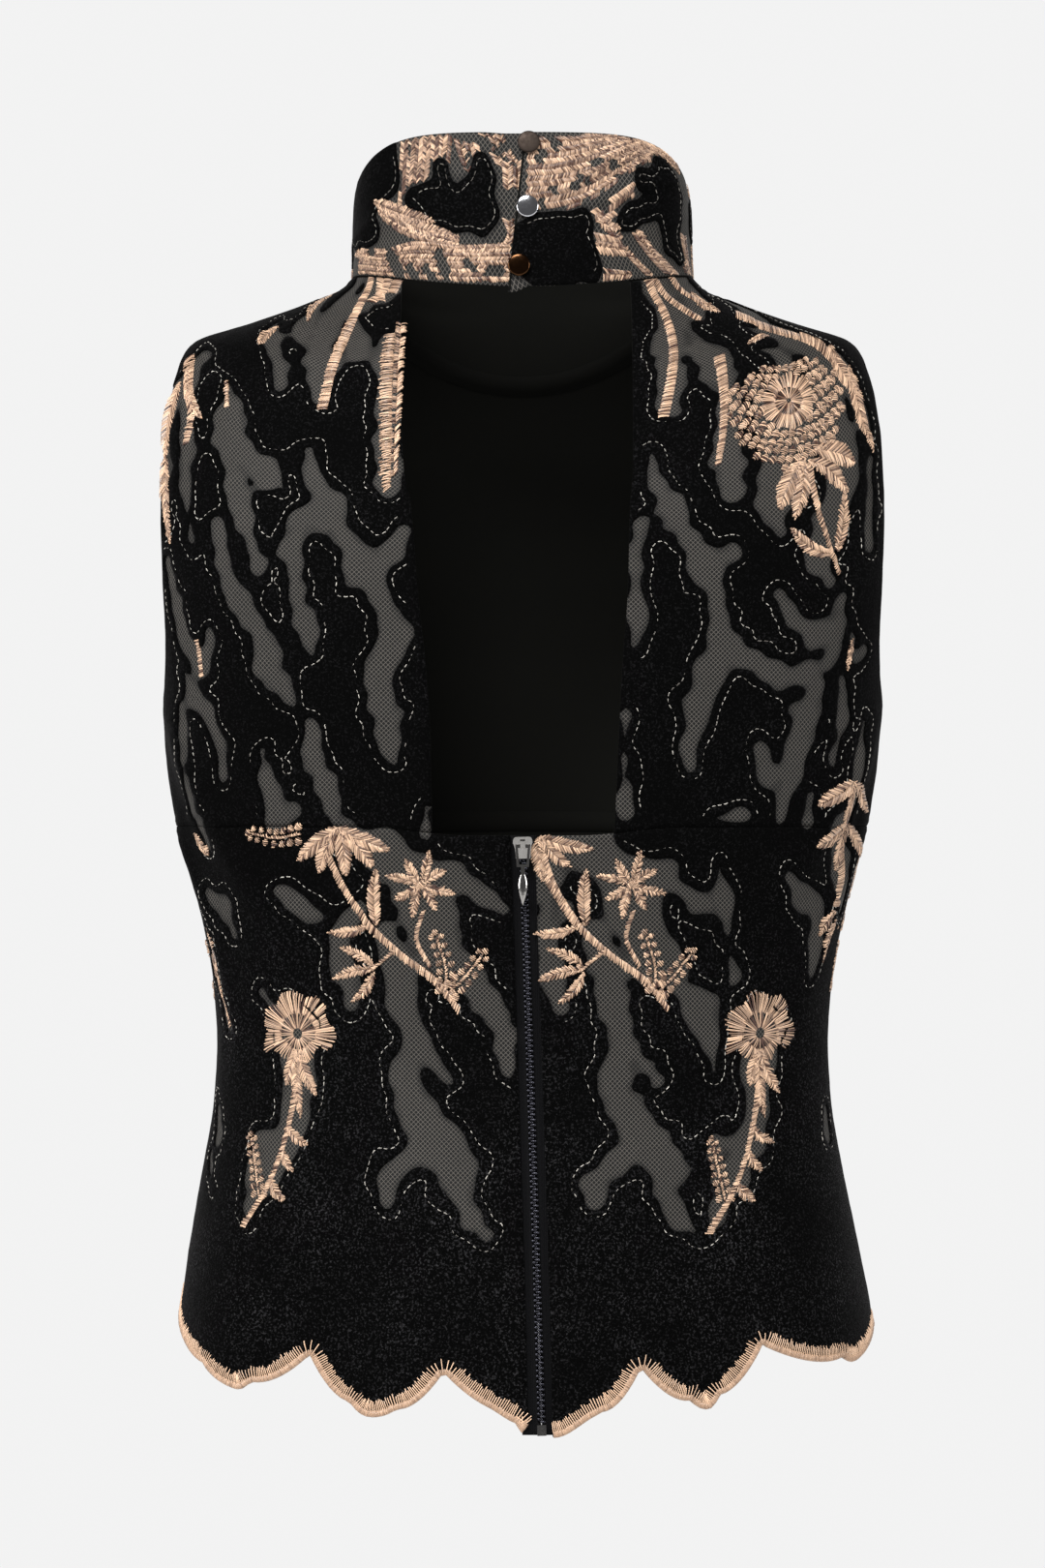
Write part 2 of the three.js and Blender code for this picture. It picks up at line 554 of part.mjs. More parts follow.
// The slider in its own frame: x across the zip, y up it, z out of the cloth
function slider() {
  const [t, f, h] = [SLIDER.topWide / 2, SLIDER.footWide / 2, SLIDER.long / 2];
  const shoulder = h * 0.45;
  const outline = new THREE.Shape();
  outline.moveTo(-f, -h);
  outline.lineTo(f, -h);
  outline.quadraticCurveTo(f, 0, t, shoulder);
  outline.quadraticCurveTo(t, h, t - SLIDER.corner, h);
  outline.lineTo(SLIDER.corner - t, h);
  outline.quadraticCurveTo(-t, h, -t, shoulder);
  outline.quadraticCurveTo(-f, 0, -f, -h);
  const high = SLIDER.high - SLIDER.low;
  const body = new THREE.ExtrudeGeometry(outline, { depth: high, bevelEnabled: false, curveSegments: 6 });
  const top = SLIDER.high + BRIDGE.hole;
  const middle = (BRIDGE.foot + BRIDGE.head) / 2;
  const long = BRIDGE.head - BRIDGE.foot;
  const postHigh = BRIDGE.hole + BRIDGE.bar;
  const post = (y) => block(BRIDGE.wide, BRIDGE.post, postHigh, 0, y, SLIDER.high + BRIDGE.hole / 2);
  return geometryOf(
    solidOf(body, moved(0, 0, SLIDER.low))
      .add(post(BRIDGE.foot + BRIDGE.post / 2))
      .add(post(BRIDGE.head - BRIDGE.post / 2))
      .add(block(BRIDGE.wide, long, BRIDGE.bar, 0, middle, top + BRIDGE.bar / 2)),
  );
}

// The pull hangs from its top bar, which lies along x through its own origin
function pull() {
  const [w, r, l] = [PULL.wide / 2, PULL.rail, PULL.frame];
  const foot = w - PULL.taper;
  const outline = new THREE.Shape();
  outline.moveTo(-w, r / 2);
  outline.lineTo(-foot, -l + r / 2);
  outline.lineTo(foot, -l + r / 2);
  outline.lineTo(w, r / 2);
  const window = new THREE.Path();
  window.moveTo(-w + r, -r / 2);
  window.lineTo(w - r, -r / 2);
  window.lineTo(foot - r, -l + 1.5 * r);
  window.lineTo(r - foot, -l + 1.5 * r);
  outline.holes.push(window);
  const frame = new THREE.ExtrudeGeometry(outline, { depth: r, bevelEnabled: false });
  const neckTop = -l + r;
  const dropTop = -l + r / 2 - PULL.neckLong;
  const neckLong = neckTop - dropTop + PULL.overlap;
  const profile = evenly(0, 1, DROP.steps).map((t) => {
    const radius = (DROP.wide / 2) * Math.abs(Math.sin(Math.PI * t ** DROP.lowWeight)) ** DROP.fullness;
    return new THREE.Vector2(radius, dropTop + DROP.into - DROP.long * (1 - t));
  });
  profile[0].x = 0;
  profile.at(-1).x = 0;
  const flat = new THREE.Matrix4().makeScale(1, 1, DROP.thick / DROP.wide);
  return geometryOf(
    solidOf(frame, moved(0, 0, -r / 2))
      .add(block(PULL.neck, neckLong, r, 0, neckTop - neckLong / 2, 0))
      .add(solidOf(new THREE.LatheGeometry(profile, 16), flat)),
  );
}

// A snap's cap: a low dome over a straight rim, on the axis z
function snapCap() {
  const dome = evenly(0, Math.PI / 2, 5).map(
    (turn) => new THREE.Vector2(SNAP.radius * Math.cos(turn), SNAP.rim + SNAP.dome * Math.sin(turn)),
  );
  dome.at(-1).x = 0;
  const foot = [new THREE.Vector2(0, 0), new THREE.Vector2(SNAP.radius, 0)];
  return new THREE.LatheGeometry([...foot, ...dome], 24).rotateX(Math.PI / 2);
}

function snapBack() {
  const { backRadius, backThick } = SNAP;
  return new THREE.CylinderGeometry(backRadius, backRadius, backThick, 20).rotateX(Math.PI / 2);
}

const cloth = (color, roughness) => new THREE.MeshStandardMaterial({ color, roughness, metalness: 0 });
const metal = (color, roughness) => new THREE.MeshStandardMaterial({ color, roughness, metalness: 1 });
const VELVET = cloth(0x0f0f0f, 0.95);
const WOVEN_TAPE = cloth(0x131316, 0.9);
const STEEL = metal(0xb9b9c2, 0.2);

const blouse = new THREE.Group();
function add(name, geometry, material, parent = blouse) {
  const mesh = new THREE.Mesh(geometry, material);
  mesh.name = name;
  parent.add(mesh);
  return mesh;
}

add("front_upper", upperFront(36), VELVET);
add("back_upper_left", upperBack(1, 12), VELVET);
add("back_upper_right", upperBack(-1, 12), VELVET);
add("front_lower", lowerFront(36), VELVET);
add("back_lower_left", lowerBack(1, 16), VELVET);
add("back_lower_right", lowerBack(-1, 16), VELVET);
add("collar", collar(), VELVET);

const tapeOuter = -CLOTH - SEAM;
const tapeTop = WAIST_SEAM - WAIST_SEAM_DIP - SEAM;
const tape = (left, right) => zipStrip(left, right, ZIP.foot, tapeTop, tapeOuter, TAPE.thick);
add("zip_tape_left", tape(TAPE.wide, SEAM / 2), WOVEN_TAPE);
add("zip_tape_right", tape(-SEAM / 2, -TAPE.wide), WOVEN_TAPE);
const sliderLevel = ZIP.top - SLIDER.long / 2;
const chainTop = sliderLevel - SLIDER.long / 2 - SEAM;
const chainFoot = ZIP.foot + RETAINER.long + SEAM;
add("zip_chain", zipStrip(CHAIN.half, -CHAIN.half, chainFoot, chainTop, CHAIN.up, CHAIN.up + CLOTH), STEEL);

// A group whose own x runs across the zip, y up it and z out of the cloth
function zipFrame(level) {
  const at = (l) => onBody(angleAtX(bodyRow(l), zipX(l)), l);
  const { point, normal } = at(level);
  const up = at(level + 1).point.sub(at(level - 1).point).normalize();
  const across = up.clone().cross(normal).normalize();
  const group = new THREE.Group();
  group.position.copy(point);
  group.quaternion.setFromRotationMatrix(new THREE.Matrix4().makeBasis(across, up, across.clone().cross(up)));
  blouse.add(group);
  return group;
}

const sliderGroup = zipFrame(sliderLevel);
add("zip_slider", slider(), STEEL, sliderGroup);
const retainerGroup = zipFrame(ZIP.foot + RETAINER.long / 2);
const retainerHigh = RETAINER.high - RETAINER.low;
const retainer = new THREE.BoxGeometry(RETAINER.wide, RETAINER.long, retainerHigh);
add("zip_retainer", retainer.translate(0, 0, RETAINER.low + retainerHigh / 2), STEEL, retainerGroup);

// The pull's top bar lies in the bridge's hole, and the pull hangs straight down from it
sliderGroup.updateMatrixWorld(true);
const hingeY = (BRIDGE.foot + BRIDGE.head) / 2 - BRIDGE.hingeBelow;
const hinge = new THREE.Vector3(0, hingeY, SLIDER.high + BRIDGE.hole / 2);
hinge.applyMatrix4(sliderGroup.matrixWorld);
const pullGroup = new THREE.Group();
pullGroup.position.copy(hinge);
const worldAcross = new THREE.Vector3(-1, 0, 0);
const worldUp = new THREE.Vector3(0, 0, 1);
const worldOut = new THREE.Vector3(0, 1, 0);
pullGroup.quaternion.setFromRotationMatrix(new THREE.Matrix4().makeBasis(worldAcross, worldUp, worldOut));
blouse.add(pullGroup);
add("zip_pull", pull(), STEEL, pullGroup);

for (const snap of SNAPS) {
  const angle = angleAtX(collarRow(snap.share), snap.x);
  const { point, normal } = onCollar(angle, snap.share);
  const turn = new THREE.Quaternion().setFromUnitVectors(new THREE.Vector3(0, 0, 1), normal);
  const cap = add(snap.name, snapCap(), STEEL);
  cap.position.copy(point).addScaledVector(normal, SEAM);
  cap.quaternion.copy(turn);
  const back = add(snap.name + "_back", snapBack(), STEEL);
  const depth = 2 * CLOTH + OVERLAP.clear + SNAP.backGap + SNAP.backThick / 2;
  back.position.copy(point).addScaledVector(normal, -depth);
  back.quaternion.copy(turn);
}

export default blouse;
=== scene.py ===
import math

import bpy
import numpy as np
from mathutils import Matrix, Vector


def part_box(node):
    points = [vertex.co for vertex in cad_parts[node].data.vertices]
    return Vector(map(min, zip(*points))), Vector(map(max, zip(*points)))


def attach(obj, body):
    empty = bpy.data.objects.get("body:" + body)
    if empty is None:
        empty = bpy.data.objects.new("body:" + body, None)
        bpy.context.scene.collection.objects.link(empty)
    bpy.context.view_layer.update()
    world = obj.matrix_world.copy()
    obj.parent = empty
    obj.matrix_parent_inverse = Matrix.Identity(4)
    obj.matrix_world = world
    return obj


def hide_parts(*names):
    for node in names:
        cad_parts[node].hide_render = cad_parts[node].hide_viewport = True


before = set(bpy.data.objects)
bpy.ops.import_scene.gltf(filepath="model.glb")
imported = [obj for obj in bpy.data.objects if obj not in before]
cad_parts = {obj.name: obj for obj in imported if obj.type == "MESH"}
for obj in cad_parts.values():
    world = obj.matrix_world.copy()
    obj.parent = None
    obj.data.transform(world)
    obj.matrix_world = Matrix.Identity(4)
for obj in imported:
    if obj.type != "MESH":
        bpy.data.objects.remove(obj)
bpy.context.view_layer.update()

# The blouse in the part's own frame, worked out in millimetres: x to the wearer's left, y to the back, z up.
# Heights of the cloth's layers over its outer face, and of a seam's turned edge inside
NET_FACE, LINING_FACE, TURNED_EDGE = -1.0, -1.6, (-1.63, -1.95)
# The velvet's pile: its height off the net, how far in it is rounded, and how it is drawn in along the stitches
PILE, PILE_ROUND, GROOVE, GROOVE_WIDE, SINK = 1.0, 1.9, 0.5, 0.95, 0.12
SEAM = 0.3  # the gap between two pieces
# The waist seam hangs lower under the open back: flat as far from the middle as DIP_FLAT, and none after DIP_END
WAIST_SEAM, WAIST_DIP, DIP_FLAT, DIP_END, DIP_REACH = -253.0, 3.5, 25, 70, 24
ARM_TOP, ARM_FOOT, ARM_BACK, ARM_FRONT, ARM_SQUARE = -30.0, -205.0, 50.0, 58.0, 2.3
HEM_SIDE, HEM_BACK, HEM_FRONT, HEM_TILT = -468.0, -489.0, -480.0, 0.007
HEM_LOBE, HEM_ARCH, HEM_SHARP, HEM_LEVEL, HEM_BAND = 2.6, 20.3, 0.72, -490.0, -450.0
ZIP_END_FALL, ZIP_END_OVER = 5.0, 18.0  # the back's hem hangs lower next to the zip
ZIP_TOP, ZIP_FOOT, ZIP_SLANT, ZIP_GAP = -256.8, -516.0, 8.4, 5.35
COLLAR_TALL = 66.0
BODY_ARC, COLLAR_ARC = 150, 70  # lengths of cloth a radian, near enough for the folds
FOLD_END = 0.12  # share of a fold's full rise that is gone at its two ends
CELL, COLLAR_CELL = 2.0, 1.4  # the side of a cell where the velvet is cut
# The pieces' widths, which only set how many cells they are cut in. The front is really 390 and 420 wide, but it
# isn't in the photo and gets wider cells.
UPPER_BACK_WIDE, LOWER_BACK_WIDE, COLLAR_WIDE, UPPER_FRONT_WIDE, LOWER_FRONT_WIDE = 128, 172, 470, 290, 310
THREAD = 0.54  # an embroidery thread's width
PITCH = 0.66  # from one stitch to the next
SATIN, BAND, BEAD = 0.6, 0.62, 0.8  # how far satin stitch, bands of it and beads stand off the cloth
FAR = 1e4  # past the end of any edge
RADIAN = math.pi / 180


def table(names, *rows):
    return {name: np.array([row[i] for row in rows], float) for i, name in enumerate(names.split())}


FORM = table(
    "side back front half to_back to_front square",
    (-530, -530, -530, 168, 105, 122, 2.2),
    (-480, -480, -480, 162.5, 101, 118, 2.2),
    (-444, -444, -444, 155.5, 96, 114, 2.2),
    (-408, -408, -408, 148, 89, 110, 2.2),
    (-380, -380, -380, 143.3, 84, 106, 2.2),
    (-354, -354, -354, 141.8, 81, 104, 2.2),
    (-325, -325, -325, 143.6, 82, 105, 2.2),
    (-300, -300, -300, 148, 84.5, 108, 2.2),
    (-275, -275, -275, 154, 87.5, 112, 2.25),
    (-253, -253, -253, 158.8, 90.5, 116, 2.3),
    (-228, -228, -228, 163.4, 93.5, 120, 2.35),
    (-200, -200, -201, 166.4, 96.5, 122, 2.5),
    (-170, -171, -176, 168.6, 98.5, 121, 2.7),
    (-140, -143, -153, 170.4, 99.5, 117, 2.9),
    (-110, -118, -133, 171.4, 98.5, 110, 2.95),
    (-80, -97, -113, 170.2, 95, 101, 2.9),
    (-57, -80, -97, 167, 90, 92, 2.7),
    (-42, -67, -85, 161.8, 85, 85, 2.5),
    (-30, -55, -75, 152, 80, 80, 2.4),
    (-21, -42, -64, 125.5, 75, 76, 2.3),
    (-12, -29, -53, 100.5, 70, 72, 2.2),
    (-4, -17.5, -44, 83.3, 64.5, 68, 2.1),
    (0, -12, -40, 80, 62, 66, 2.1),
)
COLLAR = table(
    "share side back front half to_back to_front square",
    (0, 0.3, -11.7, -39.7, 80, 62, 66, 2.1),
    (0.3, 12.5, 9.2, -19, 79.3, 62, 66, 2.2),
    (0.6, 25, 30.2, 1, 78.9, 61.5, 65.5, 2.4),
    (0.85, 35.2, 47.6, 18, 78.2, 60.2, 64, 2.65),
    (1, 41, 57.6, 28, 77, 59, 62, 2.8),
)
OPEN_BACK = table(
    "level left right",
    (-260, 39.8, 40.4),
    (-217, 40.2, 42),
    (-182, 42.3, 43.6),
    (-148, 45.6, 45.8),
    (-103, 48.6, 46.9),
    (-80, 51.8, 48.2),
    (0, 55, 49),
)
# Places along the hem and how many scallops lie before each; the last is the side seam or the front's middle
BACK_ALONG = {
    1: (0, 5.4, 37.5, 57.6, 71, 80, 99.7, 126, 133, 155, FAR),
    -1: (0, 21, 38.3, 61, 69, 74, 95.7, 140.7, 153.6, 192, FAR),
}
BACK_COUNTS = (1 / 2, 2 / 3, 1, 4 / 3, 3 / 2, 5 / 3, 2, 7 / 3, 5 / 2, 8 / 3)
BACK_LAST = {1: 3, -1: 2.7}
FRONT_FIRST = {1: 0, -1: 0.3}

# Soft folds: from and to as degrees round from the back's middle and level, half the width, and the rise
BODY_FOLDS = (
    (74, -206, 46, -292, 13, 3.2),
    (84, -222, 66, -340, 11, 2.4),
    (-76, -204, -44, -288, 13, 3.0),
    (-82, -230, -62, -330, 12, 2.2),
    (104, -208, 138, -262, 12, 2.4),
    (-104, -208, -136, -258, 12, 2.6),
    (89, -450, 93, -530, 24, -3.6),
    # finer creases than the solids have
    (68, -318, 40, -336, 5, 0.9),
    (-66, -312, -38, -332, 5, 1.0),
    (72, -352, 46, -344, 5, -0.8),
    (-70, -358, -44, -350, 5, -0.8),
    (86, -246, 74, -272, 5, 1.0),
    (-88, -238, -76, -268, 5, 0.9),
)
COLLAR_FOLDS = (
    (-9, 0.42, -62, 0.86, 4.5, 1.3),
    (-14, 0.22, -75, 0.62, 5, 1.1),
    (30, 0.62, 84, 0.34, 5, 1.2),
    (22, 0.36, 70, 0.12, 4.5, 0.9),
    (120, 0.3, 168, 0.5, 6, 1.2),
    (236, 0.34, 200, 0.58, 6, 1.1),
)
# The fine gathers that run out from the closure
COLLAR_GATHERS = (
    (-5, 0.72, -16, 1.0, 1.9, 0.8),
    (-6, 0.62, -25, 1.0, 1.9, -0.9),
    (-6, 0.54, -33, 0.98, 2.0, 1.1),
    (-7, 0.48, -41, 0.93, 2.0, -1.1),
    (-9, 0.45, -48, 0.84, 2.1, 1.0),
    (-12, 0.41, -54, 0.74, 2.1, -0.9),
    (-12, 0.34, -50, 0.56, 2.0, 0.7),
    (12, 0.9, 40, 0.7, 2.0, 0.6),
    (14, 0.7, 46, 0.5, 2.2, -0.6),
)


def smooth(a, b, v):
    """0 before a, 1 after b, and an even rise between"""
    t = np.clip((np.asarray(v, float) - a) / (b - a), 0, 1)
    return t * t * (3 - 2 * t)


def between(low, high, share):
    return low * (1 - share) + high * share


def hermite(t, run, start, end, slope_in, slope_out):
    """A smooth curve over a run, from its values and slopes at both ends"""
    return (
        (2 * t**3 - 3 * t**2 + 1) * start
        + (t**3 - 2 * t**2 + t) * slope_in * run
        + (3 * t**2 - 2 * t**3) * end
        + (t**3 - t**2) * slope_out * run
    )


def unit(v):
    return v / np.maximum(np.linalg.norm(v, axis=-1, keepdims=True), 1e-9)


def left_of(ahead):
    return np.stack([-ahead[..., 1], ahead[..., 0]], -1)


def run_lengths(line):
    """How far along a line each of its points lies"""
    return np.concatenate([[0], np.cumsum(np.linalg.norm(np.diff(line, axis=0), axis=1))])


def point_at(wanted, lengths, line):
    return np.stack([np.interp(wanted, lengths, line[:, k]) for k in (0, 1)], -1)


# The form of the cloth


def column(rows, name, at):
    """A smooth curve through one column of a table over its first one, kept level where the values turn"""
    x, y, at = next(iter(rows.values())), rows[name], np.asarray(at, float)
    slope = np.diff(y) / np.diff(x)
    a, b = slope[:-1], slope[1:]
    turn = np.where(a * b <= 0, 0, 2 * a * b / np.where(a + b == 0, 1, a + b))
    tangent = np.concatenate([slope[:1], turn, slope[-1:]])
    i = np.clip(np.searchsorted(x, at, side="left") - 1, 0, len(x) - 2)
    run = x[i + 1] - x[i]
    t = np.clip((at - x[i]) / run, -0.2, 1.2)
    return hermite(t, run, y[i], y[i + 1], tangent[i], tangent[i + 1])


SECTION = ("back", "front", "half", "to_back", "to_front", "square")


def body_row(level):
    row = {name: column(FORM, name, level) for name in SECTION}
    return {"side": np.asarray(level, float), "round": 0.0, **row}


def collar_row(share):
    row = {name: column(COLLAR, name, share) for name in ("side", *SECTION)}
    return {"round": share, **row}


def section_point(row, angle):
    """A place on a rounded-square section, which rises or falls from its sides to the back's and front's middle"""
    s, c = np.sin(angle), np.cos(angle)
    power = 2 / row["square"]
    depth = np.where(c > 0, row["to_back"], row["to_front"])
    middle = np.where(c > 0, row["back"], row["front"])
    rise = c * c + (smooth(0, 1, abs(c)) - c * c) * row["round"]
    x, y = row["half"] * np.sign(s) * abs(s) ** power, depth * np.sign(c) * abs(c) ** power
    return np.stack([x, y, row["side"] + (middle - row["side"]) * rise], -1)


def fold_rise(folds, angle, level, across, up):
    """How far folds lift the cloth, where across and up turn angles and levels into lengths"""
    rise = np.zeros(np.broadcast(angle, level).shape)
    for a0, l0, a1, l1, wide, tall in folds:
        turn = np.round((angle / RADIAN - a0) / 360) * 360
        x, y = (angle - turn * RADIAN) * across, level * up
        ax, ay = a0 * RADIAN * across, l0 * up
        bx, by = a1 * RADIAN * across - ax, l1 * up - ay
        t = np.clip(((x - ax) * bx + (y - ay) * by) / (bx * bx + by * by), 0, 1)
        away = np.hypot(x - ax - t * bx, y - ay - t * by)
        swell = np.sin(math.pi * (FOLD_END + (1 - 2 * FOLD_END) * t))
        rise = rise + tall * swell * np.exp(-((away / wide) ** 2))
    return rise


def from_back(angle):
    """Degrees round from the back's middle, to either side"""
    return abs(np.mod(angle / RADIAN + 540, 360) - 180)


def body_rise(angle, level, point):
    """The flared hem's waves, which leave the zip flat, the bust and the folds"""
    flare = smooth(354, 510, -level) * smooth(12, 26, from_back(angle))
    wave = np.cos(7 * angle) * (1 + 0.45 * np.sin(2 * angle + 1))
    side = abs(abs(point[..., 0]) - 74)
    bust = np.where(np.cos(angle) < 0, np.exp(-((side / 50) ** 2) - ((level + 188) / 50) ** 2), 0)
    return 3.0 * flare * wave + 11 * bust + fold_rise(BODY_FOLDS, angle, level, BODY_ARC, 1)


def facing(bare, angle, level, da, dl):
    """The outward direction, from places a little to each side"""
    turn = bare(angle + da, level) - bare(angle - da, level)
    up = bare(angle, level + dl) - bare(angle, level - dl)
    return unit(np.cross(up, turn))


def bare_body(angle, level):
    return section_point(body_row(level), angle)


def bare_collar(angle, share):
    return section_point(collar_row(share), angle)


def on_body(angle, level):
    normal = facing(bare_body, angle, np.minimum(level, -0.4), 0.006, 0.4)
    point = bare_body(angle, level)
    return point + normal * body_rise(angle, level, point)[..., None], normal


def on_collar(angle, share):
    """The collar as it is snapped: its under end settles below the free edge on top"""
    normal = facing(bare_collar, angle, np.clip(share, 0.01, 0.99), 0.006, 0.01)
    point, away = bare_collar(angle, share), from_back(angle)
    rise = fold_rise(COLLAR_FOLDS, angle, share, COLLAR_ARC, COLLAR_TALL) * smooth(6, 16, away)
    rise += fold_rise(COLLAR_GATHERS, angle, share, COLLAR_ARC, COLLAR_TALL) * smooth(5, 11, away)
    rise *= smooth(0, 0.15, share) * smooth(0, 0.12, 1 - share)
    free = free_edge(share)
    under = np.where(angle < math.pi / 2, -2.1 * (1 - smooth(7, 19, point[..., 0])), 0)
    lap = np.where(angle > 1.5 * math.pi, smooth(free - 11, free - 2, point[..., 0]), 0)
    point = point + normal * (rise + under)[..., None]
    point[..., 2] -= 3 * (1 - share) ** 6 * lap
    return point, normal


def free_edge(share):
    """x of the collar's upper end at the closure, from its foot to its top"""
    return 6.5 - 7.5 * np.asarray(share, float)


def angle_at_x(row, x):
    return np.arcsin(np.clip((abs(x) / row["half"]) ** (row["square"] / 2), 0, 1)) * np.sign(x)


def angle_from_side(row, front, y=SEAM / 2):
    """Where a piece ends a length y short of the side, counted from its own middle"""
    depth = row["to_front" if front else "to_back"]
    return np.arccos(np.clip((y / depth) ** (row["square"] / 2), 0, 1))


def zip_x(level):
    return -ZIP_SLANT * (ZIP_TOP - np.asarray(level, float)) / (ZIP_TOP - ZIP_FOOT)


def side_edge(level, front):
    """Where an upper piece ends at the side, counted from its own middle: the seam or the armhole"""
    row = body_row(level)
    away = np.clip(abs(np.asarray(level) - (ARM_TOP + ARM_FOOT) / 2) / ((ARM_TOP - ARM_FOOT) / 2), 0, 1)
    opened = (1 - away**ARM_SQUARE) ** (1 / ARM_SQUARE)
    y = np.maximum(SEAM / 2, (ARM_FRONT if front else ARM_BACK) * opened)
    return angle_from_side(row, front, y)


def hem_level(angle, along, side, front):
    """The scalloped edge's level, along it from the zip or, in front, from the side seam"""
    places = np.minimum((0, FAR) if front else BACK_ALONG[side], along.max())
    counts = (FRONT_FIRST[side], 5 / 2) if front else (*BACK_COUNTS, BACK_LAST[side])
    phase = np.interp(along, places, counts)
    base = HEM_SIDE + ((HEM_FRONT if front else HEM_BACK) - HEM_SIDE) * np.cos(angle) ** 2
    arch = HEM_ARCH * abs(np.sin(math.pi * phase)) + HEM_LOBE * abs(np.sin(3 * math.pi * phase)) ** HEM_SHARP
    fall = 0 if front else ZIP_END_FALL * (1 - smooth(0, ZIP_END_OVER, along))
    return base - arch - fall - HEM_TILT * bare_body(angle, np.full_like(angle, HEM_LEVEL))[..., 0]


# Flat maps of the cloth, in millimetres: u along it from a middle line and t up it


class Cloth:
    """A stretch of the form laid out flat, so that motifs drawn on the flat land on the worn cloth"""

    def __init__(self, bare, worn, middle, reach, levels, height_at, home, step, stitch_in):
        """t is measured height_at radians from the middle line, and is the level itself at home"""
        self.worn, self.levels, self.step, self.stitch_in = worn, levels, step, stitch_in
        self.angles = middle + np.linspace(-reach[0], reach[1], 480)
        lengths = np.array([run_lengths(row) for row in bare(*np.meshgrid(self.angles, levels))])
        self.u = lengths - np.array([np.interp(middle, self.angles, row) for row in lengths])[:, None]
        self.t = run_lengths(bare(np.full(len(levels), middle + height_at), levels))
        self.t += home - np.interp(home, levels, self.t)
        # a lattice of angles, points and outward directions, for anything placed by u and t
        self.gu = np.arange(math.floor(self.u.min()), self.u.max() + step, step)
        self.gt = np.arange(self.t[0], self.t[-1] + step, step)
        self.angle_at = np.array([np.interp(self.gu, row, self.angles) for row in self.u])
        level = np.interp(self.gt, self.t, levels)
        i, share = self.row_below(level)
        angle = between(self.angle_at[i], self.angle_at[i + 1], share[:, None])
        self.points, self.normals = worn(angle, np.repeat(level[:, None], len(self.gu), 1))

    def row_below(self, level):
        """The row below each level, and how far the level is on to the next"""
        i = np.clip(np.searchsorted(self.levels, level) - 1, 0, len(self.levels) - 2)
        return i, (level - self.levels[i]) / (self.levels[i + 1] - self.levels[i])

    def cell(self, v, start, count):
        """The lattice line before each place, and how far the place is on to the next"""
        k = np.clip((v - start) / self.step, 0, count - 1.001)
        return np.floor(k).astype(int), k - np.floor(k)

    def flat(self, angle, level):
        """u and t of places given by angle and level"""
        i, share = self.row_below(level)
        k = (angle - self.angles[0]) / (self.angles[1] - self.angles[0])
        j = np.clip(np.floor(k).astype(int), 0, len(self.angles) - 2)
        low, high = (between(self.u[row, j], self.u[row, j + 1], k - j) for row in (i, i + 1))
        return between(low, high, share), np.interp(level, self.levels, self.t)

    def angle(self, u, level):
        """The angle at a length u from the middle line, at a level"""
        i, share = self.row_below(level)
        j, on = self.cell(u, self.gu[0], len(self.gu))
        low, high = (between(self.angle_at[row, j], self.angle_at[row, j + 1], on) for row in (i, i + 1))
        return between(low, high, share)

    def read(self, grid, u, t):
        """A value of the lattice at places given by u and t"""
        (j, a), (i, b) = self.cell(u, self.gu[0], len(self.gu)), self.cell(t, self.gt[0], len(self.gt))
        if grid.ndim == 3:
            a, b = a[..., None], b[..., None]
        low, high = (between(grid[row, j], grid[row, j + 1], a) for row in (i, i + 1))
        return between(low, high, b)

    def place(self, u, t, height):
        return self.read(self.points, u, t) + self.read(self.normals, u, t) * np.asarray(height)[..., None]


LEVELS = np.concatenate([np.arange(-532, -60, 3.0), np.arange(-60, 0.1, 1.0)])
BACK, FRONT = (
    Cloth(bare_body, on_body, middle, (2.0, 2.0), LEVELS, 0.75, WAIST_SEAM, CELL, 3.9)
    for middle in (0.0, math.pi)
)
SHARES = np.linspace(0, 1, 34)
ROUND = Cloth(bare_collar, on_collar, 0.0, (0.4, 2 * math.pi + 0.3), SHARES, 1.2, 0, COLLAR_CELL / 2, 2.2)
# u of a whole round, at half the collar's height
ROUND_FULL = float(np.interp(2 * math.pi, ROUND.angles, ROUND.u[17]))

# Where the net shows: gaps in the velvet, each a chain of places with its half width


def capsules(chains):
    """Chains of (u, t, half width) as tapered capsules, from one place to the next"""
    return np.array([(*a, *b) for chain in chains for a, b in zip(chain, chain[1:])], float)


def wobble(u, t, seed, sizes):
    """Uneven waves, given as lengths and heights, each in three directions"""
    rng = np.random.default_rng(seed)
    out = np.zeros(np.broadcast(u, t).shape)
    for length, tall in sizes:
        for _ in range(3):
            turn, phase = rng.uniform(0, 2 * math.pi, 2)
            out += tall / 3 * np.sin(2 * math.pi / length * (u * math.cos(turn) + t * math.sin(turn)) + phase)
    return out


def outside(u, t, parts, blend):
    """The distance out of a group of capsules, blended where they meet"""
    total = np.zeros(np.broadcast(u, t).shape)
    for au, at, ar, bu, bt, br in parts:
        du, dt = bu - au, bt - at
        s = np.clip(((u - au) * du + (t - at) * dt) / max(du * du + dt * dt, 1e-6), 0, 1)
        away = np.hypot(u - au - s * du, t - at - s * dt) - (ar + (br - ar) * s)
        total += np.exp(-np.clip(away, -40, 60) / blend)
    return -blend * np.log(total + 1e-12)


def velvet_islands(u, t, islands, seed):
    return -outside(u, t, capsules(islands), 1.7) + wobble(u, t, seed, ((19, 1.6), (10, 0.8)))


def velvet_depth(u, t, gaps, seed):
    """How far inside the velvet a place is: below 0 where the net shows"""
    bare = outside(u, t, capsules(gaps), 2.2) + 1.6
    wave = wobble(u, t, seed, ((31, 2.2), (17, 2.0), (10, 0.9)))
    return bare + wave * np.exp(-((np.minimum(bare, 0) / 5) ** 2))


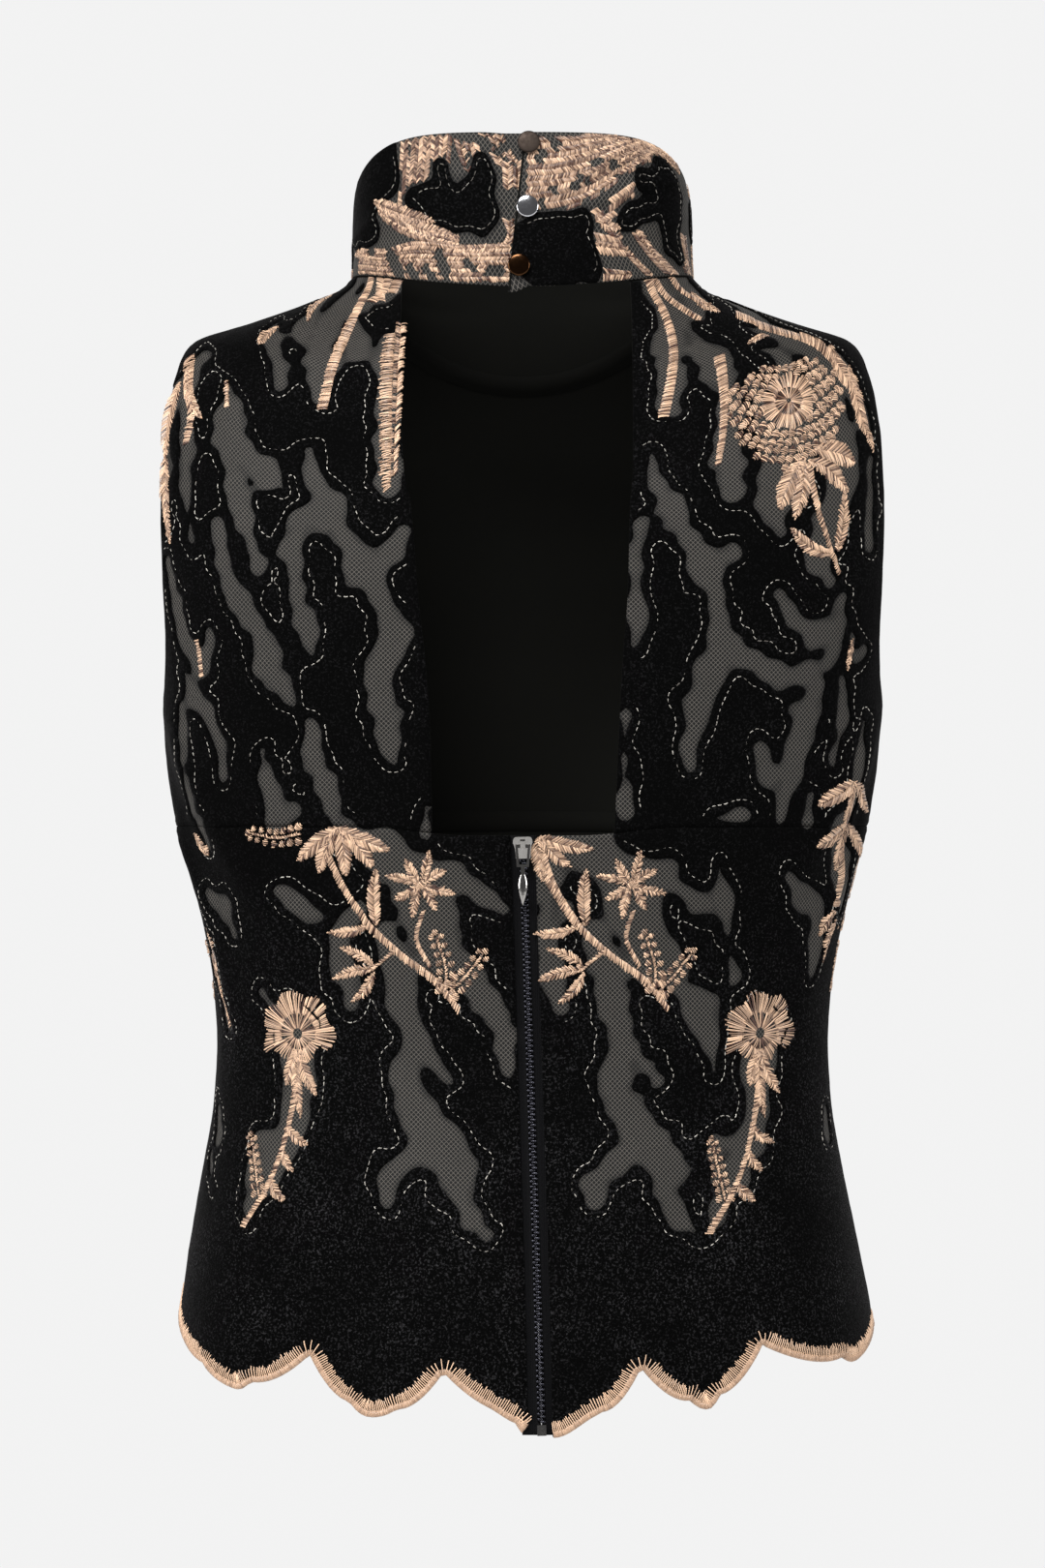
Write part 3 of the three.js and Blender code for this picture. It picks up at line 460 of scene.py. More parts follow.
def moved(chains, across=0.0, up=0.0):
    return tuple(tuple((u + across, t + up, *rest) for u, t, *rest in chain) for chain in chains)


def pile_height(depth, stitch_in):
    """The velvet's height over the net: rounded at its cut edge and drawn in along the running stitch"""
    edge = np.clip(depth / PILE_ROUND, 0, 1)
    groove = GROOVE * np.exp(-(((depth - stitch_in) / GROOVE_WIDE) ** 2))
    groove += SINK * smooth(stitch_in, stitch_in + 1, depth)
    return np.where(depth > 0, PILE * (0.3 + 0.7 * np.sqrt(1 - (1 - edge) ** 2)) - groove, 0)


UPPER_LEFT = (
    ((90, 38, 6), (90, 16, 7), (92, -8, 8), (92, -30, 8), (89, -52, 6)),
    ((78, 36, 8), (78, 12, 6), (76, -10, 7), (75, -24, 6)),
    ((60, 36, 8), (68, 28, 7), (78, 20, 7)),
    ((60, -6, 6), (60, -30, 7), (59, -56, 7), (59, -74, 6), (58, -95, 8)),
    ((112, 34, 6), (108, 14, 6), (104, -6, 6), (103, -16, 6)),
    ((123, -8, 4), (119, -20, 6), (112, -36, 5), (109, -46, 4.5)),
    ((138, -50, 3), (134, -68, 7), (126, -84, 8), (114, -92, 6.5), (106, -99, 4)),
    ((136, -82, 7), (128, -100, 6), (124, -116, 6), (118, -134, 5)),
    ((136, -118, 4), (136, -134, 5.5), (128, -150, 6), (119, -162, 6), (115, -178, 7), (107, -190, 5.5),
        (102, -198, 3)),
    ((158, -42, 6), (164, -60, 7), (160, -80, 6), (157, -104, 4), (153, -124, 4)),
    ((172, -60, 6), (176, -90, 5), (172, -120, 4)),
    ((172, -134, 4), (167, -152, 5), (160, -170, 6), (150, -180, 6), (144, -168, 4)),
    ((163, -182, 4), (158, -194, 5), (148, -200, 5), (142, -214, 4), (140, -230, 3)),
    ((168, -198, 4), (166, -222, 4), (162, -246, 5)),
    ((94, -80, 4), (91, -94, 6), (85, -108, 6.5), (78, -122, 6.5), (69, -138, 8), (62, -152, 6.5),
        (57, -168, 6)),
    ((57, -168, 6), (61, -184, 7.5), (62, -198, 8), (60, -212, 5.5), (57, -224, 3.5)),
    ((53, -119, 4), (57, -130, 5), (64, -138, 5)),
    ((49, -168, 4), (54, -172, 4)),
    ((88, -108, 6), (98, -114, 5), (101, -130, 5), (100, -146, 5.5), (97, -162, 5), (93, -175, 4.5)),
    ((94, -208, 4), (94, -220, 5.5), (88, -234, 6.5), (84, -250, 5)),
    ((118, -219, 4), (115, -232, 5), (112, -250, 7)),
    ((102, -246, 5), (108, -252, 5)),
    ((41, -244, 3), (43, -256, 3)),
)
UPPER_RIGHT = (
    ((-66, 38, 10), (-70, 12, 9), (-66, -14, 8), (-66, -36, 8), (-64, -54, 6.5)),
    ((-84, 36, 10), (-88, 18, 7), (-80, 2, 6), (-82, -20, 7), (-86, -40, 6)),
    ((-92, -28, 6), (-92, -60, 7), (-90, -84, 7), (-93, -100, 8)),
    ((-112, 24, 8), (-118, 8, 7), (-120, -10, 8)),
    ((-112, -36, 11), (-120, -62, 17), (-118, -86, 14), (-112, -104, 9), (-114, -118, 6)),
    ((-112, -4, 7), (-128, -22, 9), (-142, -38, 9), (-156, -54, 8), (-164, -74, 6)),
    ((-140, -52, 10), (-146, -78, 11), (-148, -100, 9), (-140, -116, 9), (-134, -132, 8), (-140, -142, 5)),
    ((-166, -92, 5), (-165, -110, 4), (-164, -127, 4)),
    ((-56, -80, 4), (-58, -94, 5), (-64, -108, 6), (-72, -122, 6.5), (-80, -136, 7.5), (-92, -130, 4.5)),
    ((-82, -140, 7), (-86, -156, 5.5), (-87, -170, 6.5), (-84, -184, 7.5), (-77, -198, 7.5), (-74, -214, 4.5),
        (-75, -227, 3)),
    ((-90, -174, 6), (-102, -178, 7), (-114, -184, 5.5), (-128, -186, 4.5), (-140, -180, 5), (-146, -166, 5),
        (-148, -150, 3.5)),
    ((-114, -150, 4), (-120, -160, 5), (-132, -166, 6), (-144, -164, 5)),
    ((-51, -117, 4), (-49, -136, 4.5), (-50, -156, 5), (-49, -172, 4)),
    ((-136, -188, 6), (-129, -202, 7.5), (-125, -218, 7), (-122, -236, 5), (-118, -250, 4)),
    ((-106, -218, 6), (-112, -230, 5), (-122, -228, 5)),
    ((-150, -188, 4), (-152, -204, 4), (-147, -224, 4)),
    ((-88, -249, 3.5), (-102, -248, 4)),
    ((-134, -238, 3), (-132, -250, 4)),
    ((-154, -166, 3), (-158, -176, 4), (-164, -172, 3)),
    ((-168, -204, 4), (-164, -226, 4), (-160, -250, 7)),
    ((-45, -204, 3), (-44, -222, 3.5), (-46, -246, 4)),
)
UPPER_ISLANDS = (
    ((-80, 0, 4), (-90, -6, 7), (-100, 0, 7), (-112, -4, 5)),
    ((-98, -10, 6), (-102, -26, 6), (-110, -40, 5.5), (-114, -50, 3)),
    ((62, 10, 7), (70, 6, 6.5)),
    ((-46, 30, 5), (-52, 4, 5.5), (-50, -24, 5)),
)
# The lower panels' unit, from its star flower's middle: the flower's gap and the long one below it
STAR_GAPS = (
    ((32, -258, 7), (16, -264, 11), (2, -278, 13), (-4, -296, 13), (-10, -312, 10), (-24, -318, 6)),
    ((-12, -274, 8), (-26, -284, 5.5), (-36, -289, 4.5)),
    ((16, -300, 7), (10, -316, 9), (8, -332, 8.5), (4, -347, 6), (8, -364, 7.5), (2, -380, 8),
        (-8, -394, 11)),
    ((-8, -394, 11), (-17, -404, 10), (-15, -415, 5), (-22, -426, 5.5), (-30, -433, 3.5)),
    ((-2, -397, 7), (8, -402, 5.5), (16, -411, 6), (16, -417, 6)),
    ((-2, -354, 6), (-13, -367, 4)),
    ((-20, -324, 7), (-31, -333, 7.5), (-38, -348, 6), (-39, -364, 3)),
    ((28, -290, 5), (38, -302, 5), (36, -318, 7), (32, -333, 5)),
)
# The slender flower's gap, from the flower's middle
SPRIG_GAPS = (
    ((4, -336, 6), (0, -346, 11), (0, -362, 9), (3, -380, 8), (8, -396, 8), (15, -410, 7.5), (23, -424, 5),
        (28, -434, 2.5)),
    ((14, -396, 5), (24, -394, 4.5), (24, -410, 5)),
)
STARS_BACK, SPRIGS_BACK = (45, -48), (103, -112)
SIDE_GAPS = (
    ((112, -282, 4), (101, -289, 6), (92, -294, 5)),
    ((158, -252, 6), (152, -262, 4)),
    ((156, -286, 6), (146, -290, 5.5), (141, -304, 3)),
    ((166, -300, 6), (162, -318, 5), (154, -334, 3), (148, -346, 3)),
    ((164, -384, 6), (159, -396, 5)),
    ((168, -406, 3), (159, -419, 3.5)),
    ((-88, -270, 3), (-90, -284, 4), (-93, -300, 3.5), (-96, -322, 3)),
    ((-122, -276, 4), (-130, -284, 6), (-142, -290, 6), (-144, -306, 6), (-142, -320, 3.5)),
    ((-150, -254, 7), (-158, -270, 8), (-164, -290, 7)),
    ((-158, -384, 4), (-162, -397, 4)),
    ((122, -330, 4), (114, -340, 5)),
    ((-4, -262, 6), (-12, -276, 6), (-10, -300, 5)),
)
BACK_GAPS = UPPER_LEFT + UPPER_RIGHT + SIDE_GAPS
for middle in STARS_BACK:
    BACK_GAPS += moved(STAR_GAPS, middle)
for middle in SPRIGS_BACK:
    BACK_GAPS += moved(SPRIG_GAPS, middle)
# The front isn't in the photo. It carries on the same units.
STARS_FRONT, SPRIGS_FRONT = (-186, -93, 0, 93, 186), (-150, 58)
FRONT_GAPS = moved(UPPER_LEFT[4:17], 4, -22) + moved(UPPER_RIGHT[2:15], -4, -24)
FRONT_GAPS += moved(UPPER_LEFT[14:16], -62, 14) + moved(UPPER_LEFT[18:19], -110, 10)
FRONT_GAPS += moved(UPPER_LEFT[0:1], -52, -66)
for middle in STARS_FRONT:
    FRONT_GAPS += moved(STAR_GAPS, middle)
for middle in SPRIGS_FRONT:
    FRONT_GAPS += moved(SPRIG_GAPS, middle)
# On the collar most is net under the embroidery, and the velvet lies on it in islands
COLLAR_ISLANDS = (
    ((67, 46, 8), (69, 38, 9), (82, 35, 14), (91, 25, 9)),
    ((75, 20, 4.5), (84, 20, 7), (99, 22, 8)),
    ((100, 44, 14), (116, 34, 16), (112, 14, 8)),
    ((51, 28, 4.5), (42, 25, 5.5), (28, 23, 7), (18, 21, 7)),
    ((34, 28, 5), (36, 36, 3)),
    ((22, 28, 5), (17, 33, 5), (17, 36, 3.5)),
    ((158, 20, 12), (186, 34, 15), (214, 22, 12)),
    ((246, 44, 13), (262, 24, 12), (286, 36, 13)),
    ((322, 22, 12), (344, 38, 13), (366, 28, 10)),
    # these lie at the free end and are measured back from it
    *moved(
        (
            ((-3, 8, 9), (-14, 9, 9), (-26, 9, 8)),
            ((-4, 15, 5), (-28, 18, 4)),
            ((-54, 34.5, 3.5), (-64, 35, 4.5), (-74, 33, 8)),
            ((-46, 18.5, 2.8), (-52, 21.5, 4), (-58, 23, 3), (-68, 27, 4)),
            ((-64, 40, 2.6), (-70, 38, 5)),
            ((-74, 32, 9), (-75, 22, 7), (-77, 14, 5), (-82, 7, 4)),
        ),
        ROUND_FULL,
    ),
)


def back_depth(u, t):
    return np.maximum(velvet_depth(u, t, BACK_GAPS, 11), velvet_islands(u, t, UPPER_ISLANDS, 12))


def front_depth(u, t):
    return velvet_depth(u, t, FRONT_GAPS, 23)


def collar_depth(u, t):
    return velvet_islands(u, t, COLLAR_ISLANDS, 38)


for cloth, depth_at in ((BACK, back_depth), (FRONT, front_depth), (ROUND, collar_depth)):
    cloth.depth_at = depth_at
    cloth.depth = depth_at(*np.meshgrid(cloth.gu, cloth.gt))

# The pieces of the pattern as grids of angle and level


def rows_between(low, high, *dense):
    """Levels about a cell apart, closer where a curve turns fast"""
    fine = np.arange(low, high, 0.25)
    near = sum((np.exp(-(((fine - d) / 5) ** 2)) for d in dense), np.zeros(len(fine)))
    weight = np.concatenate([[0], np.cumsum(1 + 1.8 * near[1:])])
    count = int(round(weight[-1] * 0.25 / CELL))
    return np.interp(np.linspace(0, weight[-1], count + 1), weight, np.append(fine[:-1], high))


def spread_grid(cloth, levels, start, end, wide):
    """Angles between two edges, given at each level, at even lengths of cloth"""
    count = int(round(wide / CELL))
    u0, u1 = (cloth.flat(edge, levels)[0] for edge in (start, end))
    u = u0[:, None] + (u1 - u0)[:, None] * np.linspace(0, 1, count + 1)
    level = np.repeat(levels[:, None], count + 1, 1)
    return cloth.angle(u, level), level


def waist_dip(angle, level):
    x = bare_body(angle, level)[..., 0]
    return WAIST_DIP * (1 - smooth(DIP_FLAT, DIP_END, abs(x)))


def drop_at_waist(angle, level):
    """The seam under the open back hangs lower, and the rows next to it follow"""
    return level - waist_dip(angle, level) * (1 - smooth(0, DIP_REACH, abs(level - WAIST_SEAM)))


def open_back_edge(side, level):
    """The angle of the open back's edge, on the wearer's left for 1 and on their right for -1, as a size"""
    return angle_at_x(body_row(level), column(OPEN_BACK, "left" if side > 0 else "right", level))


def upper_back(side):
    levels = rows_between(WAIST_SEAM + SEAM / 2, 0.0, ARM_TOP, ARM_FOOT)
    inner, outer = open_back_edge(side, levels), side_edge(levels, False)
    start, end = (inner, outer) if side > 0 else (-outer, -inner)
    angle, level = spread_grid(BACK, levels, start, end, UPPER_BACK_WIDE)
    return angle, drop_at_waist(angle, level)


def upper_front():
    levels = rows_between(WAIST_SEAM + SEAM / 2, 0.0, ARM_TOP, ARM_FOOT)
    edge = side_edge(levels, True)
    return spread_grid(FRONT, levels, math.pi - edge, math.pi + edge, UPPER_FRONT_WIDE)


def lower_panel(cloth, start_at, end_at, wide, hem_at):
    levels = rows_between(HEM_BAND, WAIST_SEAM - SEAM / 2)
    angle, level = spread_grid(cloth, levels, start_at(levels), end_at(levels), wide)
    foot = np.array([HEM_LEVEL])
    hem_angle, _ = spread_grid(cloth, foot, start_at(foot), end_at(foot), wide)
    hem = hem_at(hem_angle[0])
    count = int(round((HEM_BAND - hem.min()) / CELL))
    rows = np.linspace(0, 1, count + 1)[:-1, None]
    hem_levels = hem + (HEM_BAND - hem) * rows
    hem_angles = hem_angle + (angle[0] - hem_angle) * rows
    return np.concatenate([hem_angles, angle]), np.concatenate([hem_levels, level])


def lower_back(side):
    def inner(levels):
        return angle_at_x(body_row(levels), side * zip_x(levels) + ZIP_GAP)

    def outer(levels):
        return angle_from_side(body_row(levels), False)

    def hem(angle):
        u, _ = BACK.flat(abs(angle), np.full(len(angle), HEM_LEVEL))
        zip_u, _ = BACK.flat(inner(np.array([ZIP_FOOT])), np.array([HEM_LEVEL]))
        return hem_level(angle, u - zip_u[0], side, False)

    start, end = (inner, outer) if side > 0 else (lambda l: -outer(l), lambda l: -inner(l))
    angle, level = lower_panel(BACK, start, end, LOWER_BACK_WIDE, hem)
    return angle, drop_at_waist(angle, level)


def lower_front():
    def edge(levels):
        return angle_from_side(body_row(levels), True)

    def hem(angle):
        u, _ = FRONT.flat(angle, np.full(len(angle), HEM_LEVEL))
        along = abs(u).max() - abs(u)
        left, right = (hem_level(angle, along, side, True) for side in (1, -1))
        return np.where(angle < math.pi, left, right)

    return lower_panel(FRONT, lambda l: math.pi - edge(l), lambda l: math.pi + edge(l), LOWER_FRONT_WIDE, hem)


def collar():
    shares = np.linspace(0, 1, int(COLLAR_TALL / COLLAR_CELL) + 1)
    row = collar_row(shares)
    start = angle_at_x(row, -15)
    end = 2 * math.pi + angle_at_x(row, free_edge(shares))
    return spread_grid(ROUND, shares, start, end, COLLAR_WIDE * CELL / COLLAR_CELL)


# Meshes


def linear(hex_colour):
    """An sRGB hex colour as the linear values that Blender takes"""
    values = [int(hex_colour[i : i + 2], 16) / 255 for i in (1, 3, 5)]
    return (*[v / 12.92 if v <= 0.04045 else ((v + 0.055) / 1.055) ** 2.4 for v in values], 1.0)


def add_object(name, data):
    made = bpy.data.objects.new(name, data)
    bpy.context.scene.collection.objects.link(made)
    return made


def make_piece(name, points, faces, materials, flat=None, velvet_mm=None, shade=None, choice=None):
    """A smooth mesh from points in millimetres, riding on the blouse"""
    mesh = bpy.data.meshes.new(name)
    mesh.from_pydata((np.asarray(points, float) * 0.001).tolist(), [], faces)
    for material in materials:
        mesh.materials.append(material)
    if flat is not None:
        layer = mesh.uv_layers.new(name="cloth")
        corner = np.zeros(len(mesh.loops), int)
        mesh.loops.foreach_get("vertex_index", corner)
        layer.data.foreach_set("uv", (np.asarray(flat, float)[corner] * 0.001).ravel())
    for key, values in (("velvet_mm", velvet_mm), ("shade", shade)):
        if values is not None:
            mesh.attributes.new(key, "FLOAT", "POINT").data.foreach_set("value", np.asarray(values, float))
    if choice is not None:
        mesh.polygons.foreach_set("material_index", np.asarray(choice, int))
    mesh.shade_smooth()
    piece = add_object(name, mesh)
    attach(piece, "blouse")
    return piece


def shell_faces(rows, columns):
    """Faces of a thin closed shell whose outer grid of points comes first: its outer face, then the rest"""
    total = rows * columns
    i, j = np.meshgrid(np.arange(rows - 1), np.arange(columns - 1), indexing="ij")
    a = (i * columns + j).ravel()
    out = np.stack([a, a + columns, a + columns + 1, a + 1], 1)
    ring = np.concatenate(
        [
            np.arange(columns),
            np.arange(1, rows) * columns + columns - 1,
            (rows - 1) * columns + np.arange(columns - 2, -1, -1),
            np.arange(rows - 2, 0, -1) * columns,
        ]
    )
    turn = np.roll(ring, -1)
    rim = np.stack([ring, turn, turn + total, ring + total], 1)
    return out, np.concatenate([out[:, ::-1] + total, rim])


def layers(point, normal, heights):
    return np.concatenate([(point + normal * height).reshape(-1, 3) for height in heights])


def net_shell(name, cloth, angle, level):
    """The net and the lining under it: one closed shell, its outer face net and the rest lining"""
    u, t = cloth.flat(angle, level)
    points = layers(*cloth.worn(angle, level), (NET_FACE, LINING_FACE))
    out, rest = shell_faces(*angle.shape)
    return make_piece(
        name,
        points,
        np.concatenate([out, rest]).tolist(),
        [NET, LINING],
        flat=np.tile(np.stack([u.ravel(), t.ravel()], -1), (2, 1)),
        velvet_mm=np.tile(cloth.depth_at(u, t).ravel(), 2),
        choice=np.repeat([0, 1], [len(out), len(rest)]),
    )


def seam_allowance(name, rows, heights=TURNED_EDGE, turned=1):
    """The cloth turned in at a seam or an edge: a narrow strip, from rows of points and normals"""
    point, normal = (np.stack(part) for part in zip(*rows))
    faces = np.concatenate(shell_faces(*point.shape[:2]))[:, ::turned]
    return make_piece(name, layers(point, normal, heights), faces.tolist(), [LINING])


# The corners and edge crossings that bound the part of a cell inside an outline, by which corners are inside
CELL_CUTS = {
    1: ("0ad",), 2: ("1ba",), 3: ("01bd",), 4: ("2cb",), 5: ("0ad", "2cb"), 6: ("12ca",), 7: ("012cd",),
    8: ("3dc",), 9: ("0ac3",), 10: ("1ba", "3dc"), 11: ("01bc3",), 12: ("23db",), 13: ("0ab23",),
    14: ("123da",), 15: ("0123",),
}


def cut_cells(depth, at):
    """The cells of a grid where depth is over a value: polygons, and each corner as a mix of two grid points"""
    rows, columns = depth.shape
    total = rows * columns
    inside = (depth > at).astype(int)
    case = inside[:-1, :-1] + 2 * inside[:-1, 1:] + 4 * inside[1:, 1:] + 8 * inside[1:, :-1]
    polygons = []
    for kind, cuts in CELL_CUTS.items():
        i, j = np.nonzero(case == kind)
        base = i * columns + j
        spot = {
            "0": base, "1": base + 1, "2": base + columns + 1, "3": base + columns,
            "a": total + base, "c": total + base + columns, "d": 2 * total + base, "b": 2 * total + base + 1,
        }
        for cut in cuts:
            polygons.append(np.stack([spot[key] for key in reversed(cut)], 1))
    used = np.unique(np.concatenate([p.ravel() for p in polygons]))
    polygons = [np.searchsorted(used, p) for p in polygons]
    a = used % total
    b = np.where(used < total, a, np.where(used < 2 * total, a + 1, a + columns))
    b = np.minimum(b, total - 1)
    flat = depth.ravel()
    gap = np.where(used < total, 1, flat[b] - flat[a])
    mix = np.where(used < total, 0, (at - flat[a]) / np.where(abs(gap) < 1e-9, 1, gap))
    return polygons, a, b, np.clip(mix, 0, 1)


def open_edges(polygons):
    """Edges that one polygon alone has, as (from, to)"""
    pairs = np.concatenate([np.stack([p, np.roll(p, -1, 1)], -1).reshape(-1, 2) for p in polygons if len(p)])
    big = int(pairs.max()) + 1
    key, back = pairs[:, 0] * big + pairs[:, 1], pairs[:, 1] * big + pairs[:, 0]
    return pairs[~np.isin(key, back)]


def edge_distance(u, t):
    """Each grid point's distance to the piece's own outline"""
    across = np.minimum(u - u[:, :1], u[:, -1:] - u)
    up = np.minimum(t - t[:1], t[-1:] - t)
    return np.minimum(abs(across), abs(up))


def cut_out(cloth, angle, level, at):
    """A piece's part that lies further inside the velvet than a value: its polygons, and for their corners the
    angle, level, u, t, depth in the velvet and distance to the piece's own outline"""
    u, t = cloth.flat(angle, level)
    depth = cloth.depth_at(u, t)
    polygons, a, b, mix = cut_cells(depth, at)
    grids = (angle, level, u, t, depth, edge_distance(u, t))
    return polygons, [between(grid.ravel()[a], grid.ravel()[b], mix) for grid in grids]


def velvet(name, cloth, angle, level):
    """The velvet that is left after the design is cut out of it, standing on the net"""
    polygons, (angle, level, u, t, depth, rim) = cut_out(cloth, angle, level, 0.0)
    point, normal = cloth.worn(angle, level)
    uneven = 0.06 * wobble(u, t, 5, ((11, 1), (7, 1)))
    inside, at_rim = (pile_height(v + 0.001, cloth.stitch_in) for v in (np.maximum(depth, 0), rim))
    top = point + normal * (NET_FACE + np.minimum(inside, at_rim + 0.2) + uneven)[:, None]
    edges = open_edges(polygons)
    corners, at = np.unique(edges.ravel(), return_inverse=True)
    at = at.reshape(-1, 2) + len(top)
    foot = point[corners] + normal[corners] * (NET_FACE - 0.05)
    walls = np.stack([edges[:, 1], edges[:, 0], at[:, 0], at[:, 1]], 1)
    faces = [f for p in polygons for f in p.tolist()] + walls.tolist()
    flat = np.stack([u, t], 1)
    points = np.concatenate([top, foot])
    return make_piece(name, points, faces, [VELVET], flat=np.concatenate([flat, flat[corners]]))


def outlines(cloth, angle, level, at, clear):
    """Smooth lines in the velvet a set way in from its cut edge, kept clear of the piece's own outline"""
    polygons, (_, _, u, t, depth, rim) = cut_out(cloth, angle, level, at)
    edges = open_edges(polygons)
    on_line = abs(depth - at) < 1e-6
    edges = edges[on_line[edges].all(1) & (rim[edges] > clear).all(1)]
    follow = dict(map(tuple, edges.tolist()))
    ends = set(follow.values())
    lines, seen = [], set()
    for start in [s for s in follow if s not in ends] + list(follow):
        if start in seen:
            continue
        line = [start]
        seen.add(start)
        while line[-1] in follow and follow[line[-1]] not in seen:
            line.append(follow[line[-1]])
            seen.add(line[-1])
        if len(line) > 6:
            lines.append(np.stack([u[line], t[line]], 1))
    return lines


# Threads: each is a low ridge with a line of points along its top


def lay_threads(name, cloth, lines, heights, wide, shade, material):
    """Threads on the cloth. lines is (threads, points, 2) in u and t, heights their height over what is below"""
    count, steps = heights.shape
    across = left_of(unit(np.gradient(lines, axis=1))) * (np.asarray(wide) / 2).reshape(-1, 1, 1)
    depth = cloth.read(cloth.depth, lines[..., 0], lines[..., 1])
    lift = NET_FACE + pile_height(depth, cloth.stitch_in) + heights
    places = np.stack([lines - across, lines, lines + across], 2)
    levels = np.stack([lift - 0.2, lift, lift - 0.2], 2)
    points = cloth.place(places[..., 0], places[..., 1], levels).reshape(-1, 3)
    n, k, c = np.meshgrid(np.arange(count), np.arange(steps - 1), np.arange(2), indexing="ij")
    a = (n * steps * 3 + k * 3 + c).ravel()
    faces = np.stack([a, a + 3, a + 4, a + 1], 1).tolist()
    return make_piece(name, points, faces, [material], shade=np.repeat(shade, steps * 3))


class Embroidery:
    """Collects the satin stitches of one piece, each from a to b with its height and its shade"""

    def __init__(self, seed):
        self.rng = np.random.default_rng(seed)
        self.stitches = []

    def sew(self, a, b, tall, shade, ragged):
        n = len(a)
        a = a + self.rng.normal(0, ragged * 0.3, (n, 2))
        b = b + self.rng.normal(0, ragged, (n, 2))
        tall = tall * self.rng.uniform(0.8, 1.15, n)
        # each stitch's shade is scattered at random about the given one: partly uneven thread, partly painted
        # highlight and shade from thread to thread
        self.stitches.append((a, b, tall, shade * self.rng.normal(1, 0.32, n)))

    def stem(self, path, wide, slant=1.2, shade=1.0, ragged=0.26):
        """Stitches across a line, as wide as given or as at even places along it"""
        line, ahead = smooth_line(path, PITCH)
        if np.ndim(wide):
            wide = np.interp(np.linspace(0, 1, len(line)), np.linspace(0, 1, len(wide)), wide)[:, None]
        half, lean = left_of(ahead) * wide / 2, ahead * slant / 2
        self.sew(line - half - lean, line + half + lean, SATIN, shade, ragged)

    def leaf(self, base, tip, wide, bend=0.0, slant=0.55, shade=1.0, blunt=0.85):
        """A leaf in two halves, with its stitches running from the midrib out towards the tip"""
        base, tip = np.array(base, float), np.array(tip, float)
        along = tip - base
        long = np.linalg.norm(along)
        side = left_of(along / long)
        s = np.linspace(0.02, 1, max(6, int(long / PITCH)))
        curve = lambda v: base + np.outer(v, along) + np.outer(bend * long * np.sin(math.pi * v), side)
        half = lambda v: wide / 2 * 1.9 * np.clip(v, 0, 1) ** (0.62 * blunt) * (1 - np.clip(v, 0, 1)) ** 0.8
        # painted light: one half of each leaf is made lighter (1.06) and the other darker (0.9), as satin lit from
        # one side
        for sign, tint in ((1, 1.06), (-1, 0.9)):
            reach = np.clip(s + slant * half(s) / long * 1.6, 0, 1.02)
            out = curve(reach) + sign * np.outer(half(s) * (1 - 0.15 * s), side)
            self.sew(curve(s), out, SATIN, shade * tint, 0.3)

    def bead(self, centre, radius, shade=1.0):
        turn = self.rng.uniform(0.2, 1.2)
        ahead = np.array([math.cos(turn), math.sin(turn)])
        offset = np.linspace(-0.88, 0.88, max(4, int(2 * radius / PITCH)))
        middle = np.asarray(centre, float) + np.outer(offset * radius, left_of(ahead))
        half = np.outer(np.sqrt(1 - offset**2) * radius, ahead)
        self.sew(middle - half, middle + half, BEAD, shade, 0.08)

    def fan(self, centre, start, end, inner, outer, lobes, ruffle, shade=1.0):
        """Stitches in two rings that radiate round a centre, their outer ends in soft lobes"""
        centre, middle = np.asarray(centre, float), (inner + outer) / 2
        for low, high, tint in ((inner, middle * 1.04, 0.86), (middle * 0.96, outer, 1.05)):
            count = max(4, int(abs(end - start) * RADIAN * (low + high) / 2 / PITCH))
            turn = np.radians(np.linspace(start, end, count))
            ray = np.stack([np.cos(turn), np.sin(turn)], 1)
            wave = 1 + ruffle * abs(np.sin(lobes * turn / 2))
            self.sew(centre + ray * low, centre + ray * (high * wave)[:, None], SATIN, shade * tint, 0.35)

    def star(self, centre, long, wide, turn):
        """A flower of eight narrow petals round a bead"""
        for k in range(8):
            angle = turn + 2 * math.pi * k / 8
            ahead = np.array([math.cos(angle), math.sin(angle)])
            reach = long * (1 + 0.12 * math.sin(3.1 * k + centre[0]))
            ends = (np.array(centre) + ahead * off for off in (0.8, reach))
            self.leaf(*ends, wide, 0.04 * (-1) ** k, 0.5, 1.0, 1.0)
        self.bead(centre, 2.0, 1.1)

    def bands(self, first, last, count, covered, slant=1.4, shade=1.0):
        """Bands of satin side by side, from one guide line to another, where a rule lets them lie"""
        guides = [smooth_line(path, PITCH)[0] for path in (first, last)]
        n = max(map(len, guides))
        low, high = (point_at(np.linspace(0, 1, n), np.linspace(0, 1, len(g)), g) for g in guides)
        for k in range(count):
            a, b = low + (high - low) * (k / count), low + (high - low) * ((k + 1.2) / count)
            ahead = np.gradient((a + b) / 2, axis=0)
            ahead *= slant / 2 * (-1) ** k / np.maximum(np.linalg.norm(ahead, axis=1, keepdims=True), 1e-6)
            a, b = a - ahead, b + ahead
            keep = covered(*a.T) & covered(*b.T)
            self.sew(a[keep], b[keep], BAND, shade * (1 + 0.24 * math.sin(2.4 * k + n)), 0.2)

    def sprig(self, path, bead):
        """A berry sprig: a thin stem with beads to both sides"""
        self.stem(path, 1.1, 0.8)
        line, ahead = smooth_line(path, bead * 1.55)
        for k, (place, off) in enumerate(zip(line, left_of(ahead))):
            size = bead * (1 - 0.35 * k / len(line))
            self.bead(place + off * size * 1.25, size * 0.7)
            self.bead(place - off * size * 1.25 + ahead[k] * size * 0.6, size * 0.7, 0.95)
        self.bead(line[-1] + ahead[-1] * bead, bead * 0.6)

